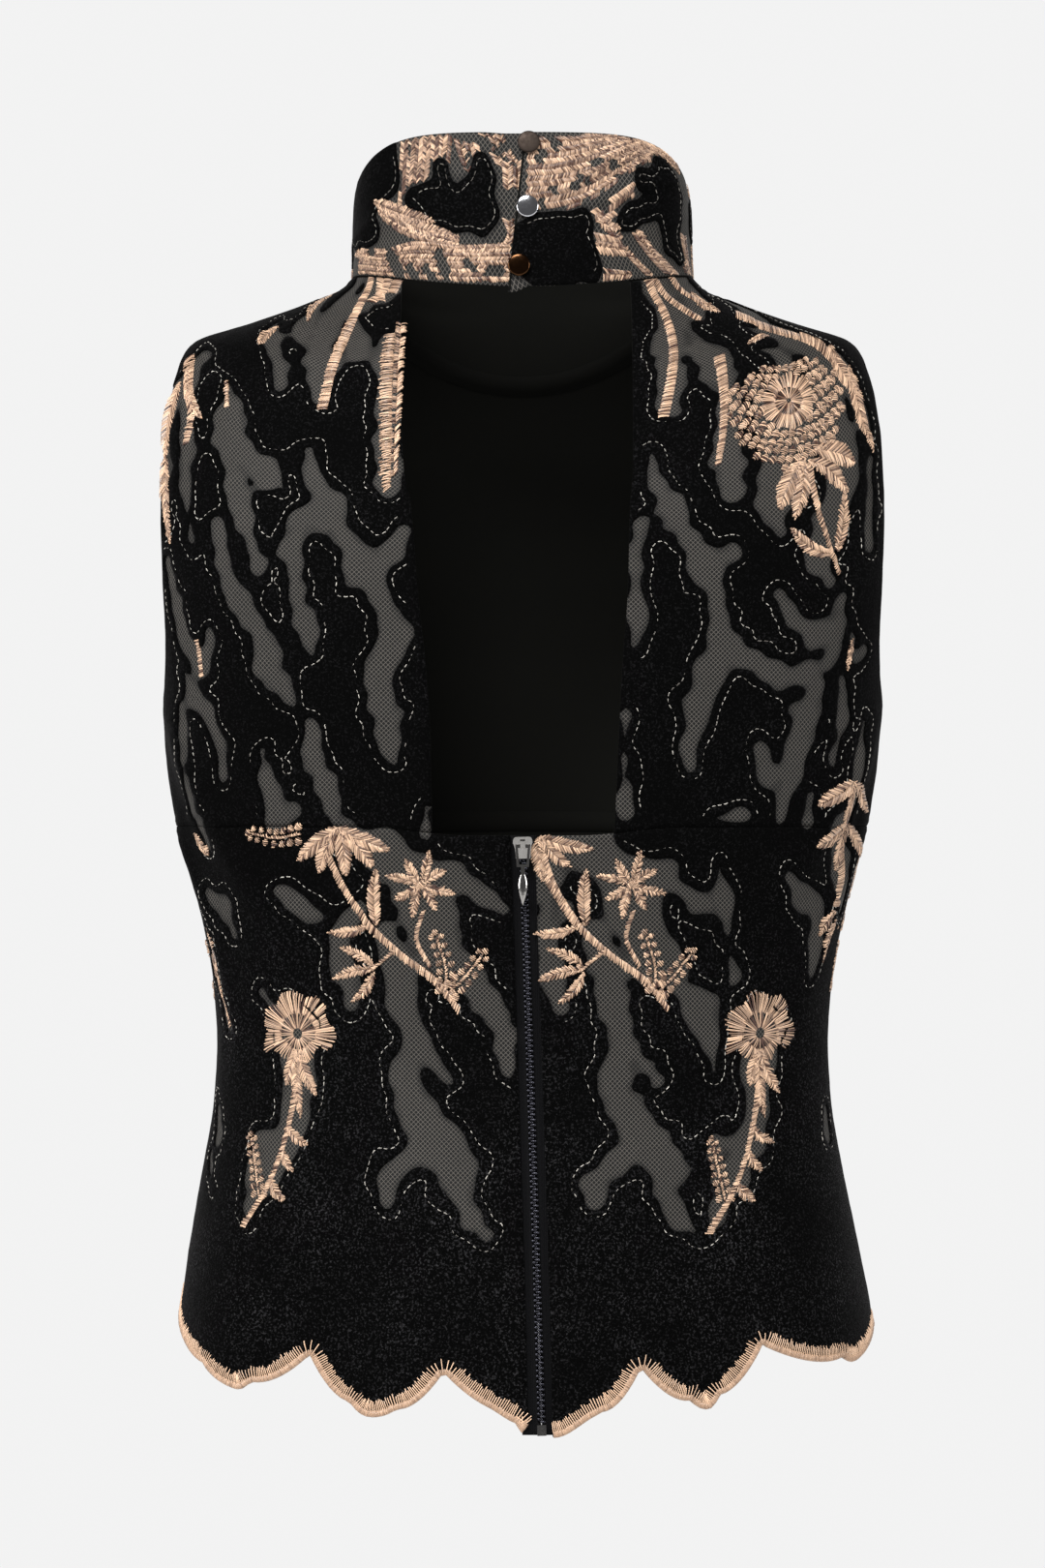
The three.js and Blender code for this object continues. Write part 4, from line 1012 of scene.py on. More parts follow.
    def done(self, name, cloth):
        a, b, tall, shade = (np.concatenate(part) for part in zip(*self.stitches))
        lines = a[:, None] + (b - a)[:, None] * np.array([0, 0.22, 0.78, 1])[None, :, None]
        heights = 0.12 + tall[:, None] * np.array([0.0, 0.9, 0.9, 0.0])
        return lay_threads(name, cloth, lines, heights, THREAD, shade, SILK)


def smooth_line(path, step):
    """A smooth line through a few places, at even steps, and its direction"""
    path = np.array(path, float)
    knots = run_lengths(path)
    fine = np.linspace(0, knots[-1], 400)
    if len(path) > 2:
        slope = np.gradient(path, knots, axis=0)
        i = np.clip(np.searchsorted(knots, fine, side="right") - 1, 0, len(knots) - 2)
        run = (knots[i + 1] - knots[i])[:, None]
        t = (fine - knots[i])[:, None] / run
        dense = hermite(t, run, path[i], path[i + 1], slope[i], slope[i + 1])
    else:
        dense = path[0] + (path[1] - path[0]) * (fine / knots[-1])[:, None]
    lengths = run_lengths(dense)
    wanted = np.linspace(0, lengths[-1], max(3, int(lengths[-1] / step) + 1))
    line = point_at(wanted, lengths, dense)
    return line, unit(np.gradient(line, axis=0))


def running_stitch(name, cloth, angle, level):
    """The silver line of short stitches that holds the velvet down, a little way in from its cut edge"""
    rng = np.random.default_rng(3)
    pitch, wide, shine = (3.0, 0.4, 0.95) if cloth is not ROUND else (2.6, 0.26, 0.6)
    lines = []
    for line in outlines(cloth, angle, level, cloth.stitch_in, 3.0):
        lengths = run_lengths(line)
        start = np.arange(0.6, lengths[-1] - pitch, pitch)[:, None]
        at = start + rng.uniform(-0.25, 0.25, start.shape) + np.array([0, 0.22, 0.44, 0.66]) * pitch
        lines.append(point_at(at, lengths, line))
    lines = np.concatenate(lines)
    heights = np.full(lines.shape[:2], 0.3) * np.array([0.2, 1, 1, 0.2]) + 0.06
    return lay_threads(name, cloth, lines, heights, wide, rng.normal(shine, 0.22, len(lines)), SILVER)


def hem_border(name, cloth, angle, level):
    """The hem's satin stitch: close threads over the edge, and longer ones that run up into the velvet"""
    rng = np.random.default_rng(8)
    edge = np.stack(cloth.flat(angle[0], level[0]), 1)
    lengths = run_lengths(edge)
    place = lambda v: point_at(v, lengths, edge)
    rows = []
    for pitch, reach, uneven, tall, tint, wide, start, first in (
        (0.5, 2.4, 0.15, 0.62, 1.0, 0.5, 0.45, -0.9),
        (1.02, 6.3, 0.55, 0.45, 1.4, 0.4, -1.3, 0.2),
    ):
        at = np.arange(0.2, lengths[-1] - 0.2, pitch)
        n = len(at)
        inward = left_of(unit(place(at + 2.4) - place(at - 2.4)))
        long = np.clip(rng.normal(reach, uneven, n), reach * 0.6, reach * 1.35)[:, None]
        base = place(at) - inward * start
        lines = np.stack([base + inward * (long + start) * s for s in (0, 0.14, 0.75, 1)], 1)
        heights = 0.1 + tall * rng.uniform(0.85, 1.15, (n, 1)) * np.array([first, 0.95, 0.9, 0.0])
        rows.append((lines, heights, np.full(n, wide), tint * rng.normal(1, 0.09, n)))
    return lay_threads(name, cloth, *(np.concatenate(part) for part in zip(*rows)), SILK)


# Materials


def set_inputs(thing, inputs):
    """Input values by their sockets' names or places, with colours as sRGB hex"""
    for key, value in inputs.items():
        thing.inputs[key].default_value = linear(value) if isinstance(value, str) else value


def feed(tree, target, links):
    """Links to a node, each given as (from node, from output, to input)"""
    for source, output, socket in links:
        tree.links.new(source.outputs[output], target.inputs[socket])


def node(tree, kind, links=(), inputs=None, **settings):
    """A node with its settings, its input values and its links"""
    made = tree.nodes.new(kind)
    for key, value in settings.items():
        setattr(made, key, value)
    set_inputs(made, inputs or {})
    feed(tree, made, links)
    return made


def every(mm):
    """A pattern's scale from how far apart its features are, over coordinates in metres"""
    return 1000 / mm


def start_material(name, colour, roughness, **inputs):
    """A surface material, with more of its shader's inputs by name"""
    material = bpy.data.materials.new(name)
    material.use_nodes = True
    tree = material.node_tree
    shader = tree.nodes["Principled BSDF"]
    set_inputs(shader, {"Base Color": colour, "Roughness": roughness})
    set_inputs(shader, {key.replace("_", " "): value for key, value in inputs.items()})
    return material, tree, shader


def black_velvet():
    # Rayon velvet, its pile woven and shorn: it drinks the light head on and glows faintly where the pile turns,
    # and the pile lies in small uneven tufts, drawn 1 mm wide so that they show. Grey speckle on the tufts is put
    # in
    # the base colour: partly the pile's own grain and partly painted sheen.
    sheen = {"Sheen_Weight": 0.05, "Sheen_Roughness": 0.32, "Sheen_Tint": "#A8A4A6"}
    material, tree, shader = start_material(
        "black rayon velvet, shorn pile", "#040404", 0.9, Specular_IOR_Level=0.04, **sheen
    )
    place = [(node(tree, "ShaderNodeTexCoord"), "Object", "Vector")]
    tufts = node(tree, "ShaderNodeTexNoise", place, {"Scale": every(1.053), "Detail": 3.0, "Roughness": 0.65})
    lay = node(tree, "ShaderNodeTexNoise", place, {"Scale": every(38.5), "Detail": 3.0})
    # grey speckle in the base colour where the tufts stand highest: partly the pile's grain, partly painted sheen
    # glinting off it
    speckle = node(tree, "ShaderNodeMapRange", [(tufts, "Fac", "Value")], {"From Min": 0.53, "From Max": 0.78})
    # uneven clouds, 38.5 mm across, that thin the speckle and its painted sheen to a quarter in places
    speckle_cloud_range = {"From Min": 0.35, "From Max": 0.7, "To Min": 0.25}
    worn = node(tree, "ShaderNodeMapRange", [(lay, "Fac", "Value")], speckle_cloud_range)
    # painted sheen: lower on the flared hem the speckle grows to over three times its strength on the upper back,
    # as if its pile turned further to the light
    height = node(tree, "ShaderNodeSeparateXYZ", place)
    flare = {"From Min": -0.4, "From Max": -0.26, "To Min": 1.0, "To Max": 0.3}
    turned = node(tree, "ShaderNodeMapRange", [(height, "Z", "Value")], flare)
    faint = node(tree, "ShaderNodeMath", [(worn, "Result", 0), (turned, "Result", 1)], operation="MULTIPLY")
    amount = node(tree, "ShaderNodeMath", [(speckle, "Result", 0), (faint, "Value", 1)], operation="MULTIPLY")
    black_to_grey = {6: "#020202", 7: "#464547"}
    colour = node(tree, "ShaderNodeMix", [(amount, "Value", "Factor")], black_to_grey, data_type="RGBA")
    bump = node(tree, "ShaderNodeBump", [(tufts, "Fac", "Height")], {"Strength": 0.55, "Distance": 0.0006})
    feed(tree, shader, [(colour, 2, "Base Color"), (bump, "Normal", "Normal")])
    return material


def net_over_lining():
    # Polyamide tulle, knitted in small lozenges, over a black lining: its pale grey yarn shows as a fine lattice,
    # and a painted shade darkens it towards black next to the velvet's cut edge, where the pile overhangs it.
    name = "taupe polyamide tulle over black lining"
    material, tree, shader = start_material(name, "#30302D", 0.7, Specular_IOR_Level=0.25)
    place = [(node(tree, "ShaderNodeUVMap", uv_map="cloth"), "UV", "Vector")]
    parts = node(tree, "ShaderNodeSeparateXYZ", place)
    strands = []
    for k, lean in enumerate((1, -1)):
        # real lozenges are 1.2 mm apart and too fine to show from here, so they are drawn every 2.1 mm
        turn = math.pi / 0.0021
        x = node(tree, "ShaderNodeMath", [(parts, "X", 0)], {1: lean * turn}, operation="MULTIPLY")
        y = node(tree, "ShaderNodeMath", [(parts, "Y", 0)], {1: turn}, operation="MULTIPLY")
        both = node(tree, "ShaderNodeMath", [(x, "Value", 0), (y, "Value", 1)], operation="ADD")
        wave = node(tree, "ShaderNodeMath", [(both, "Value", 0)], operation="SINE")
        strands.append((node(tree, "ShaderNodeMath", [(wave, "Value", 0)], operation="ABSOLUTE"), "Value", k))
    least = node(tree, "ShaderNodeMath", strands, operation="MINIMUM")
    hole = node(tree, "ShaderNodeMapRange", [(least, "Value", "Value")], {"From Min": 0.14, "From Max": 0.34})
    stain = node(tree, "ShaderNodeTexNoise", place, {"Scale": every(33.3), "Detail": 2.0})
    taupes = {6: "#54504B", 7: "#66615B"}
    yarn = node(tree, "ShaderNodeMix", [(stain, "Fac", "Factor")], taupes, data_type="RGBA")
    over_yarn = [(hole, "Result", "Factor"), (yarn, 2, 6)]
    lattice = node(tree, "ShaderNodeMix", over_yarn, {7: "#0E0E0D"}, data_type="RGBA")
    # painted shade: within 2.2 mm of the velvet's cut edge the net is mixed towards near black, 0.7 of the way at
    # the edge itself
    near = node(tree, "ShaderNodeAttribute", attribute_name="velvet_mm")
    painted_shade_reach = {"From Min": -2.2, "From Max": 0.0, "To Min": 0.0, "To Max": 0.7}
    shadow = node(tree, "ShaderNodeMapRange", [(near, "Fac", "Value")], painted_shade_reach)
    over_lattice = [(shadow, "Result", "Factor"), (lattice, 2, 6)]
    colour = node(tree, "ShaderNodeMix", over_lattice, {7: "#050505"}, data_type="RGBA")
    relief = {"Strength": 0.5, "Distance": 0.0002}
    bump = node(tree, "ShaderNodeBump", [(hole, "Result", "Height")], relief, invert=True)
    feed(tree, shader, [(colour, 2, "Base Color"), (bump, "Normal", "Normal")])
    return material


def black_lining():
    # Plain black polyester lining, woven: flat and dull, with a faint weave close by.
    name = "black polyester lining, plain weave"
    material, tree, shader = start_material(name, "#121210", 0.9, Specular_IOR_Level=0.05)
    place = [(node(tree, "ShaderNodeUVMap", uv_map="cloth"), "UV", "Vector")]
    weave = node(tree, "ShaderNodeTexChecker", place, {"Scale": every(0.4)})
    bump = node(tree, "ShaderNodeBump", [(weave, "Fac", "Height")], {"Strength": 0.3, "Distance": 0.0001})
    feed(tree, shader, [(bump, "Normal", "Normal")])
    return material


def stitched_thread(name, dark, light, roughness, metallic=0.0):
    # Twisted rayon thread in satin stitch: each thread is its own ridge and catches the light along its length.
    # Its colour runs from the dark to the light end by the thread's shade: partly its own tone, partly painted
    # shadow and highlight.
    material, tree, shader = start_material(name, light, roughness, Metallic=metallic, Sheen_Weight=0.15)
    shade = node(tree, "ShaderNodeAttribute", attribute_name="shade")
    amount = node(tree, "ShaderNodeMapRange", [(shade, "Fac", "Value")], {"From Min": 0.5, "From Max": 1.45})
    colour = node(tree, "ShaderNodeMix", [(amount, "Result", "Factor")], {6: dark, 7: light}, data_type="RGBA")
    place = [(node(tree, "ShaderNodeTexCoord"), "Object", "Vector")]
    twist = node(tree, "ShaderNodeTexNoise", place, {"Scale": every(0.385), "Detail": 1.0})
    bump = node(tree, "ShaderNodeBump", [(twist, "Fac", "Height")], {"Strength": 0.5, "Distance": 0.0002})
    feed(tree, shader, [(colour, 2, "Base Color"), (bump, "Normal", "Normal")])
    return material


def zip_tape():
    # Woven polyester zip tape: a dense black twill with fine ribs along it.
    name = "black polyester zip tape, woven"
    material, tree, shader = start_material(name, "#060608", 0.8, Specular_IOR_Level=0.15)
    place = [(node(tree, "ShaderNodeTexCoord"), "Object", "Vector")]
    # the wave texture turns through 20 radians in each unit
    twill = {"Scale": every(0.75) * 2 * math.pi / 20, "Distortion": 0.4}
    ribs = node(tree, "ShaderNodeTexWave", place, twill, bands_direction="X")
    bump = node(tree, "ShaderNodeBump", [(ribs, "Fac", "Height")], {"Strength": 0.6, "Distance": 0.0003})
    feed(tree, shader, [(bump, "Normal", "Normal")])
    return material


def polished_metal(name, colour, roughness, scratches):
    # Plated brass, barrel polished: bright and smooth, with a little unevenness in its gloss.
    material, tree, shader = start_material(name, colour, roughness, Metallic=1.0)
    place = [(node(tree, "ShaderNodeTexCoord"), "Object", "Vector")]
    wear = node(tree, "ShaderNodeTexNoise", place, {"Scale": every(1.43), "Detail": 2.0})
    uneven = {"To Min": roughness * 0.7, "To Max": roughness * 1.4 + scratches}
    gloss = node(tree, "ShaderNodeMapRange", [(wear, "Fac", "Value")], uneven)
    feed(tree, shader, [(gloss, "Result", "Roughness")])
    return material


VELVET = black_velvet()
NET = net_over_lining()
LINING = black_lining()
# the dark ends stand partly for painted shadow between threads and the light ends partly for painted highlight
SILK = stitched_thread("peach rayon embroidery thread, satin stitched", "#46271A", "#F0C8A6", 0.3)
SILVER = stitched_thread("silver metallised running thread", "#5A554F", "#CFCAC0", 0.4, 0.3)
TAPE = zip_tape()
GUNMETAL = polished_metal("gunmetal plated brass zip teeth", "#3A3A40", 0.2, 0.04)
NICKEL = polished_metal("nickel plated brass, polished", "#B9B6B2", 0.13, 0.04)
# the three caps are the same plated metal: the top one's dark taupe and the bottom one's brown are painted
# reflections of what faces them, the middle one is plain chrome
SNAP_METALS = {
    "snap_top": polished_metal("plated snap cap, painted dark reflection", "#3E3631", 0.55, 0.05),
    "snap_middle": polished_metal("chrome plated brass snap cap, polished", "#D8D8DC", 0.1, 0.02),
    "snap_bottom": polished_metal("plated snap cap, painted brown reflection, polished", "#4A3220", 0.14, 0.02),
}

# Sewing


def shifted(c):
    """Places moved along by c, so that a motif is written from its own middle"""
    return lambda *places: [(c + u, t) for u, t in places]


def star_branch(e, c):
    """The lower panels' flower branch: a star flower on a forked stem with leaves and two berry sprigs"""
    at = shifted(c)
    e.star((c, -279), 14.5, 6.2, 0.25)
    e.stem(at((-1, -291), (2, -303), (-4, -316)), 1.9)
    path = at((44, -262), (34, -282), (24, -297), (9, -311), (-7, -323), (-17, -335))
    e.stem(path, [3.6, 3, 3.4, 3, 3.2, 2.4], 1.8)
    for base, tip, wide, bend in (
        ((20, -298), (20, -272), 8, -0.04),
        ((24, -298), (43, -301), 6.5, -0.08),
        ((21, -316), (37, -308), 6, 0.08),
        ((21, -317), (41, -322), 6.5, 0.05),
        ((21, -318), (32, -332), 6, -0.1),
    ):
        e.leaf(*at(base, tip), wide, bend)
    e.stem(at((12, -309), (22, -317)), 1.6)
    e.sprig(at((-11, -328), (-11, -316), (-7, -303)), 2.5)
    e.sprig(at((-13, -327), (-21, -319), (-27, -311)), 2.6)


def ruffled_flower(e, c, top, turn, petals):
    """A large flower cut off by the seam above it, hanging as broad petals"""
    for angle in turn + np.linspace(-1.1, 1.1, petals):
        tip = (c + 24 * math.sin(angle), top - 3 - 17 * math.cos(angle))
        e.leaf((c, top + 2), tip, 9.5, 0.05 * math.sin(3 * angle), 0.7, 1.0, 0.8)


def slender_flower(e, c):
    """A ruffled cup of a flower on a long bent stem, with a berry sprig and small leaves"""
    at = shifted(c)
    e.fan((c + 1, -347), -25, 205, 2.4, 16.5, 7, 0.2)
    e.fan((c + 1, -347), 205, 335, 2.4, 12, 5, 0.16, 0.92)
    for tip in ((-9, -374), (7, -370), (-1, -384)):
        e.leaf(*at((1, -354), tip), 8, 0.05)
    e.stem(at((1, -368), (5, -386), (9, -400), (16, -416), (28, -434)), [4, 2.6, 2.4, 2.6, 3.4], 1.8)
    for base, tip, wide, bend in (
        ((8, -398), (2, -408), 6, 0.12),
        ((14, -412), (6, -421), 7, 0.12),
        ((6, -388), (-5, -396), 6, 0.1),
    ):
        e.leaf(*at(base, tip), wide, bend)
    e.sprig(at((20, -420), (23, -408), (26, -395)), 2.3)


def bead_flower(e, centre, size):
    """A round flower: a fanned heart, and rows of small beads that hang about it like a bowl"""
    centre = np.array(centre, float)
    e.fan(centre, 0, 360, 1.2 * size, 13 * size, 9, 0.12)
    for row in range(-8, 5):
        for k in range(-8, 9):
            x, y = (k * 3.9 + 1.95 * (row % 2)) * size, (row * 4.1 + 0.012 * (k * 3.9) ** 2) * size
            bowl = math.hypot(x / 31, y / (33 if y < 0 else 21)) / size
            if math.hypot(x, y) > 13.6 * size and bowl < 1:
                e.bead(centre + (x, y), 1.95 * size)


def sew_back(side):
    e = Embroidery(21 + side)
    if side > 0:
        e.stem([(79, 38), (79, 14), (82, -12), (86, -36), (89, -58)], [5, 4.6, 4.6, 5, 4.6], 1.6)
        e.stem([(60, -2), (60.4, -34), (60, -62), (59.5, -97)], [4.6, 5.6, 5.2, 5.4, 3.6], 1.6, ragged=0.7)
        mottled = lambda u, t: wobble(u, t, 7, ((7, 1), (4, 0.8))) > -0.55
        e.bands([(57.4, 6), (57.6, -40), (58, -92)], [(52.8, 6), (53.4, -40), (54.8, -88)], 2, mottled)
        rows = [(66, 38), (68, 30), (73, 20)], [(72, 38), (71, 30), (68, 22)], [(60, 37), (63, 28)]
        for k, path in enumerate(rows):
            e.stem(path, 5.2, 2.0 * (-1) ** k, 1 + 0.07 * math.sin(2.1 * k))
        e.leaf((112, 30), (104, -2), 7, 0.08)
        e.leaf((120, -10), (124, -28), 8, 0.1)
        e.stem([(168, -44), (163, -58), (157, -70), (159, -84)], [9, 8, 6, 4], 2)
        e.leaf((168, -48), (149, -72), 10, 0.1)
        e.leaf((170, -56), (176, -92), 14, 0.1)
        e.leaf((176, -88), (168, -126), 12, 0.05)
        e.stem([(138, -52), (136, -64)], 2.4, 1)
        e.stem([(152, -169), (151, -185)], 2.8, 0.6)
    else:
        e.stem([(-61, 38), (-66, 14), (-68, -14), (-66, -38), (-62, -59)], [5, 4.2, 4.2, 4.6, 5], 1.6)
        e.stem([(-64, 38), (-74, 18), (-84, 4)], 4.2, 1.4)
        e.stem([(-76, 38), (-84, 24), (-92, 14)], 4.4, 1.4)
        e.leaf((-88, 26), (-96, 6), 9, 0.1)
        e.stem([(-89, -26), (-90, -46), (-89, -66), (-86, -86)], [6, 4.4, 3.6, 2.6], 1.6)
        bead_flower(e, (-121, -58), 1.0)
        e.stem([(-106, 2), (-124, -14), (-142, -30), (-152, -44)], [7, 7, 7, 6], 2)
        e.leaf((-118, -18), (-104, -22), 5, 0.1)
        e.leaf((-150, -34), (-163, -62), 13, 0.08)
        e.leaf((-160, -46), (-168, -88), 12, 0.06)
        e.leaf((-130, -84), (-155, -92), 14, -0.08)
        e.leaf((-128, -88), (-150, -104), 11, -0.08)
        e.leaf((-127, -86), (-114, -110), 13, 0.06)
        e.leaf((-127, -88), (-121, -115), 11, -0.03)
        e.stem([(-128, -90), (-132, -108), (-138, -124), (-144, -139)], [4.2, 3, 2.6, 2.4], 1.4)
        e.leaf((-141, -131), (-119, -119), 8.5, -0.12)
        e.leaf((-143, -130), (-148, -103), 8, 0.05)
        e.leaf((-156, -168), (-152, -182), 4.5, 0.05)
        ruffled_flower(e, -160, -234, 0.1, 3)
    return e


def sew_lower_back(side):
    e = Embroidery(41 + side)
    star_branch(e, STARS_BACK[0] if side > 0 else STARS_BACK[1])
    slender_flower(e, SPRIGS_BACK[0] if side > 0 else SPRIGS_BACK[1])
    if side > 0:
        ruffled_flower(e, 82, -255, -0.15, 5)
        e.sprig([(100, -256), (112, -258), (124, -256)], 2.6)
        e.fan((168, -312), 100, 260, 2, 11, 6, 0.2)
        e.stem([(160, -318), (154, -330), (148, -346)], 2)
        e.leaf((164, -256), (152, -266), 7, 0.1)
    else:
        for tip, wide in (((-9, -277), 8), ((-31, -263), 8.5), ((-21, -271), 8)):
            e.leaf((-7, -257), tip, wide, 0.05)
        e.stem([(-8, -262), (-14, -280), (-24, -297)], [3, 3, 3.4], 1.8)
        ruffled_flower(e, -160, -254, 0.2, 3)
        e.stem([(-158, -262), (-160, -278), (-156, -290)], [6, 5, 4], 2)
        e.leaf((-156, -292), (-146, -304), 6, 0.1)
        e.leaf((-158, -296), (-150, -316), 7, 0.1)
    return e


def sew_front_upper():
    e = Embroidery(61)
    for s in (1, -1):
        e.stem([(s * 60, -48), (s * 66, -70), (s * 62, -94)], [4, 5.4, 4], 2.2)
        e.leaf((s * 64, -96), (s * 74, -112), 9, 0.1 * s)
        e.leaf((s * 66, -74), (s * 84, -84), 9, 0.12 * s)
        bead_flower(e, (s * 118, -94), 0.95)
        e.leaf((s * 114, -120), (s * 104, -136), 9, 0.1)
        e.leaf((s * 116, -120), (s * 128, -134), 8, -0.1)
        e.stem([(s * 115, -118), (s * 120, -146), (s * 114, -170)], 1.8)
        e.sprig([(s * 114, -170), (s * 108, -186), (s * 112, -202)], 2.2)
    e.star((8, -126), 14, 6, 0.2)
    e.stem([(8, -138), (4, -156), (0, -180), (2, -206)], [2.4, 2, 2, 3])
    e.leaf((4, -160), (16, -150), 7, 0.1)
    e.leaf((0, -178), (-14, -170), 7, 0.1)
    e.leaf((1, -190), (12, -200), 6, 0.1)
    return e


def sew_front_lower():
    e = Embroidery(71)
    for c in STARS_FRONT:
        star_branch(e, c)
    for c in SPRIGS_FRONT:
        slender_flower(e, c)
    return e


def sew_collar():
    """Bands of satin that follow the gathers nearly cover the collar's net, with leaves on top"""
    e = Embroidery(81)
    end, top = ROUND_FULL, ROUND.t[-1] - 0.5
    # each band's first and last guide line and how many rows of stitches lie between them
    guides = [
        ([(57, top), (58, 38), (59, 26)], [(32, top), (33, 38), (36, 29)], 13),
        ([(31, 45), (28, 38), (24, 31)], [(21, 45), (19, 40), (21, 33)], 5),
        ([(20, top), (16, 42), (12, 37)], [(9, top), (5, 41), (1, 37)], 6),
        ([(9.5, 37.5), (9, 33), (9, 29.5)], [(0, 38), (0, 34), (0, 29.5)], 4),
        ([(9, 19), (7, 15), (10, 11)], [(4, 19), (4, 15), (5, 12)], 2),
        ([(73, 30), (58, 26), (44, 21), (29, 14.5)], [(72, 26), (62, 18), (48, 13.5), (30, 11)], 7),
        ([(88, 14), (70, 11), (50, 13), (28, 11.5), (6, 12)], [(92, 1), (68, 0.8), (40, 0.8), (5, 1.5)], 9),
    ]
    # these, and the second lists of holes and leaves, lie at the free end and are measured back from it
    for first, last, count in (
        ([(-1, 20), (-18, 21.5), (-32, 26), (-46, 34), (-68, 46)], [(-1, top), (-20, top), (-46, top)], 15),
        ([(-60, 41), (-68, 43.5), (-84, 44)], [(-46, top), (-60, top), (-84, top)], 4),
        ([(-31, 22), (-40, 27), (-50, 33)], [(-36, 18), (-44, 22), (-51, 28)], 3),
        ([(-33, 15.5), (-45, 14)], [(-33, 9), (-47, 8.5)], 3),
        ([(-33, 21.5), (-41, 14), (-47, 9), (-56, 0.5)], [(-38, 21.5), (-46, 14.5), (-51, 9), (-60, 0.8)], 2),
        ([(-51, 16), (-57, 11), (-62, 6), (-68, 0.6)], [(-56, 17), (-63, 11.5), (-70, 6.5), (-78, 0.8)], 3),
        ([(-33, 4.6), (-48, 3)], [(-33, 0.8), (-46, 0.8)], 2),
        ([(-78, 18), (-83, 9), (-86, 1)], [(-92, 18), (-95, 9), (-97, 1)], 4),
    ):
        guides.append((*moved((first, last), end), count))
    holes = (
        ((29, 46, 1.3), (23, 45.5, 1.3)), ((19, 45.5, 1.4), (15.5, 42.5, 1.3)),
        ((11.5, 41, 1.2), (3, 45.5, 1.9)), ((8, 38.4, 0.9), (5, 37.7, 0.8)),
        ((26, 41.5, 0.5), (24.5, 39.5, 0.6)), ((26.5, 37, 0.6), (25, 35, 0.5)),
        ((53.5, 46, 0.45), (55.5, 34, 0.45)), ((64, 17.5, 1.6), (62, 13, 1.6)),
        ((64, 8, 2.6), (60, 2.5, 3)), ((38.5, 8.5, 2), (35.5, 3.5, 2.4)), ((26, 6.5, 1), (22, 4.5, 1)),
        ((16, 4, 1.1), (9, 4.2, 1.1)),
        ((54, 4, 1.6), (50.5, 1.5, 1.6)), ((46, 4, 1.2), (42, 1.5, 1.4)), ((79, 11, 1.6), (76, 9.5, 1.4)),
        *moved(
            (
                ((-4.5, 38, 0.8), (-10, 40.6, 1)),
                ((-13, 42.5, 0.8), (-18, 44.6, 0.9)), ((-24, 33, 0.8), (-28, 31.6, 1)),
                ((-31, 37, 0.8), (-35, 38.8, 0.9)),
                ((-39, 36.3, 0.9), (-42, 38.6, 1)), ((-21, 29.3, 0.8), (-23.5, 30.8, 0.9)),
                ((-10, 26.8, 0.7), (-14, 28.2, 0.7)),
                ((-7, 23.4, 0.8), (-9, 24.2, 0.7)), ((-11, 21.4, 0.8), (-14, 21.8, 0.8)),
                ((-27, 26.5, 0.6), (-30, 27.8, 0.6)),
                ((-35.5, 27, 1.6), (-38, 23.4, 1.5)), ((-43, 33, 0.9), (-47, 34.6, 1)),
                ((-48, 14, 1), (-62, 1.5, 1.4)),
            ),
            end,
        ),
    )
    # the front and the sides carry on in the same kind, with a set of bands every 24 mm
    for k, c in enumerate(range(106, int(end) - 102, 24)):
        s = (-1) ** k
        low = [(c, 1), (c + 4 * s, 15), (c - 3 * s, 30), (c, top)]
        high = [(c + 21, 1), (c + 19, 16), (c + 25, 31), (c + 21, top)]
        guides.append((low, high, 7))
        gaps = ((5, 14, 1.6), (8, 18, 1.3)), ((-6, 32, 1.8), (-3, 35, 1.2)), ((10, 42, 1.5), (14, 45, 1.2))
        holes += moved(gaps, c)
    holes = capsules(holes)

    def covered(u, t):
        in_net = (collar_depth(u, t) < -0.3) & (outside(u, t, holes, 0.3) > 0)
        return in_net & (t > 0.3) & (t < top + 0.2) & (u > -4) & (u < end - 0.6)

    # the bands' shade of 0.8 darkens and warms them: partly the collar's own deeper tone, partly painted shade
    # against their facing up to the light
    for first, last, count in guides:
        e.bands(first, last, count, covered, 1.4, 0.8)
    for base, tip, wide, bend in (
        ((74, 30), (40, 19), 8, 0.05),
        ((60, 23), (33, 15), 8, 0.08),
        ((32, 11), (9, 12), 4.5, 0.1),
        ((76, 3), (98, 10), 7, 0.1),
        (*moved([[(-34, 21), (-45, 17)]], end)[0], 5.5, 0.1),
        (*moved([[(-33, 12), (-45, 11)]], end)[0], 5, 0.05),
    ):
        e.leaf(base, tip, wide, bend, shade=0.95)
    return e


PANELS = (
    ("back_upper_left", BACK, upper_back(1), lambda: sew_back(1), (0.135, 0.26), 0.0285),
    ("back_upper_right", BACK, upper_back(-1), lambda: sew_back(-1), (0.135, 0.26), 0.0285),
    ("front_upper", FRONT, upper_front(), sew_front_upper, (0.40, 0.26), 0.075),
    ("back_lower_left", BACK, lower_back(1), lambda: sew_lower_back(1), (0.19, 0.265), 0.041),
    ("back_lower_right", BACK, lower_back(-1), lambda: sew_lower_back(-1), (0.19, 0.265), 0.041),
    ("front_lower", FRONT, lower_front(), sew_front_lower, (0.45, 0.26), 0.098),
    ("collar", ROUND, collar(), sew_collar, (0.49, 0.068), 0.0325),
)


def seam_round(height):
    """A seam from one edge of the open back round the front to the other: angles and levels"""
    level = np.full(160, height)
    left, right = (open_back_edge(side, level) for side in (1, -1))
    return left + (2 * math.pi - right - left) * np.linspace(0, 1, 160), level


def waist_allowance():
    angle, level = seam_round(WAIST_SEAM)
    middle = level - waist_dip(angle, level) * (np.cos(angle) > 0)
    return seam_allowance("waist_seam_allowance", [on_body(angle, middle + up) for up in (-5, 0, 5)])


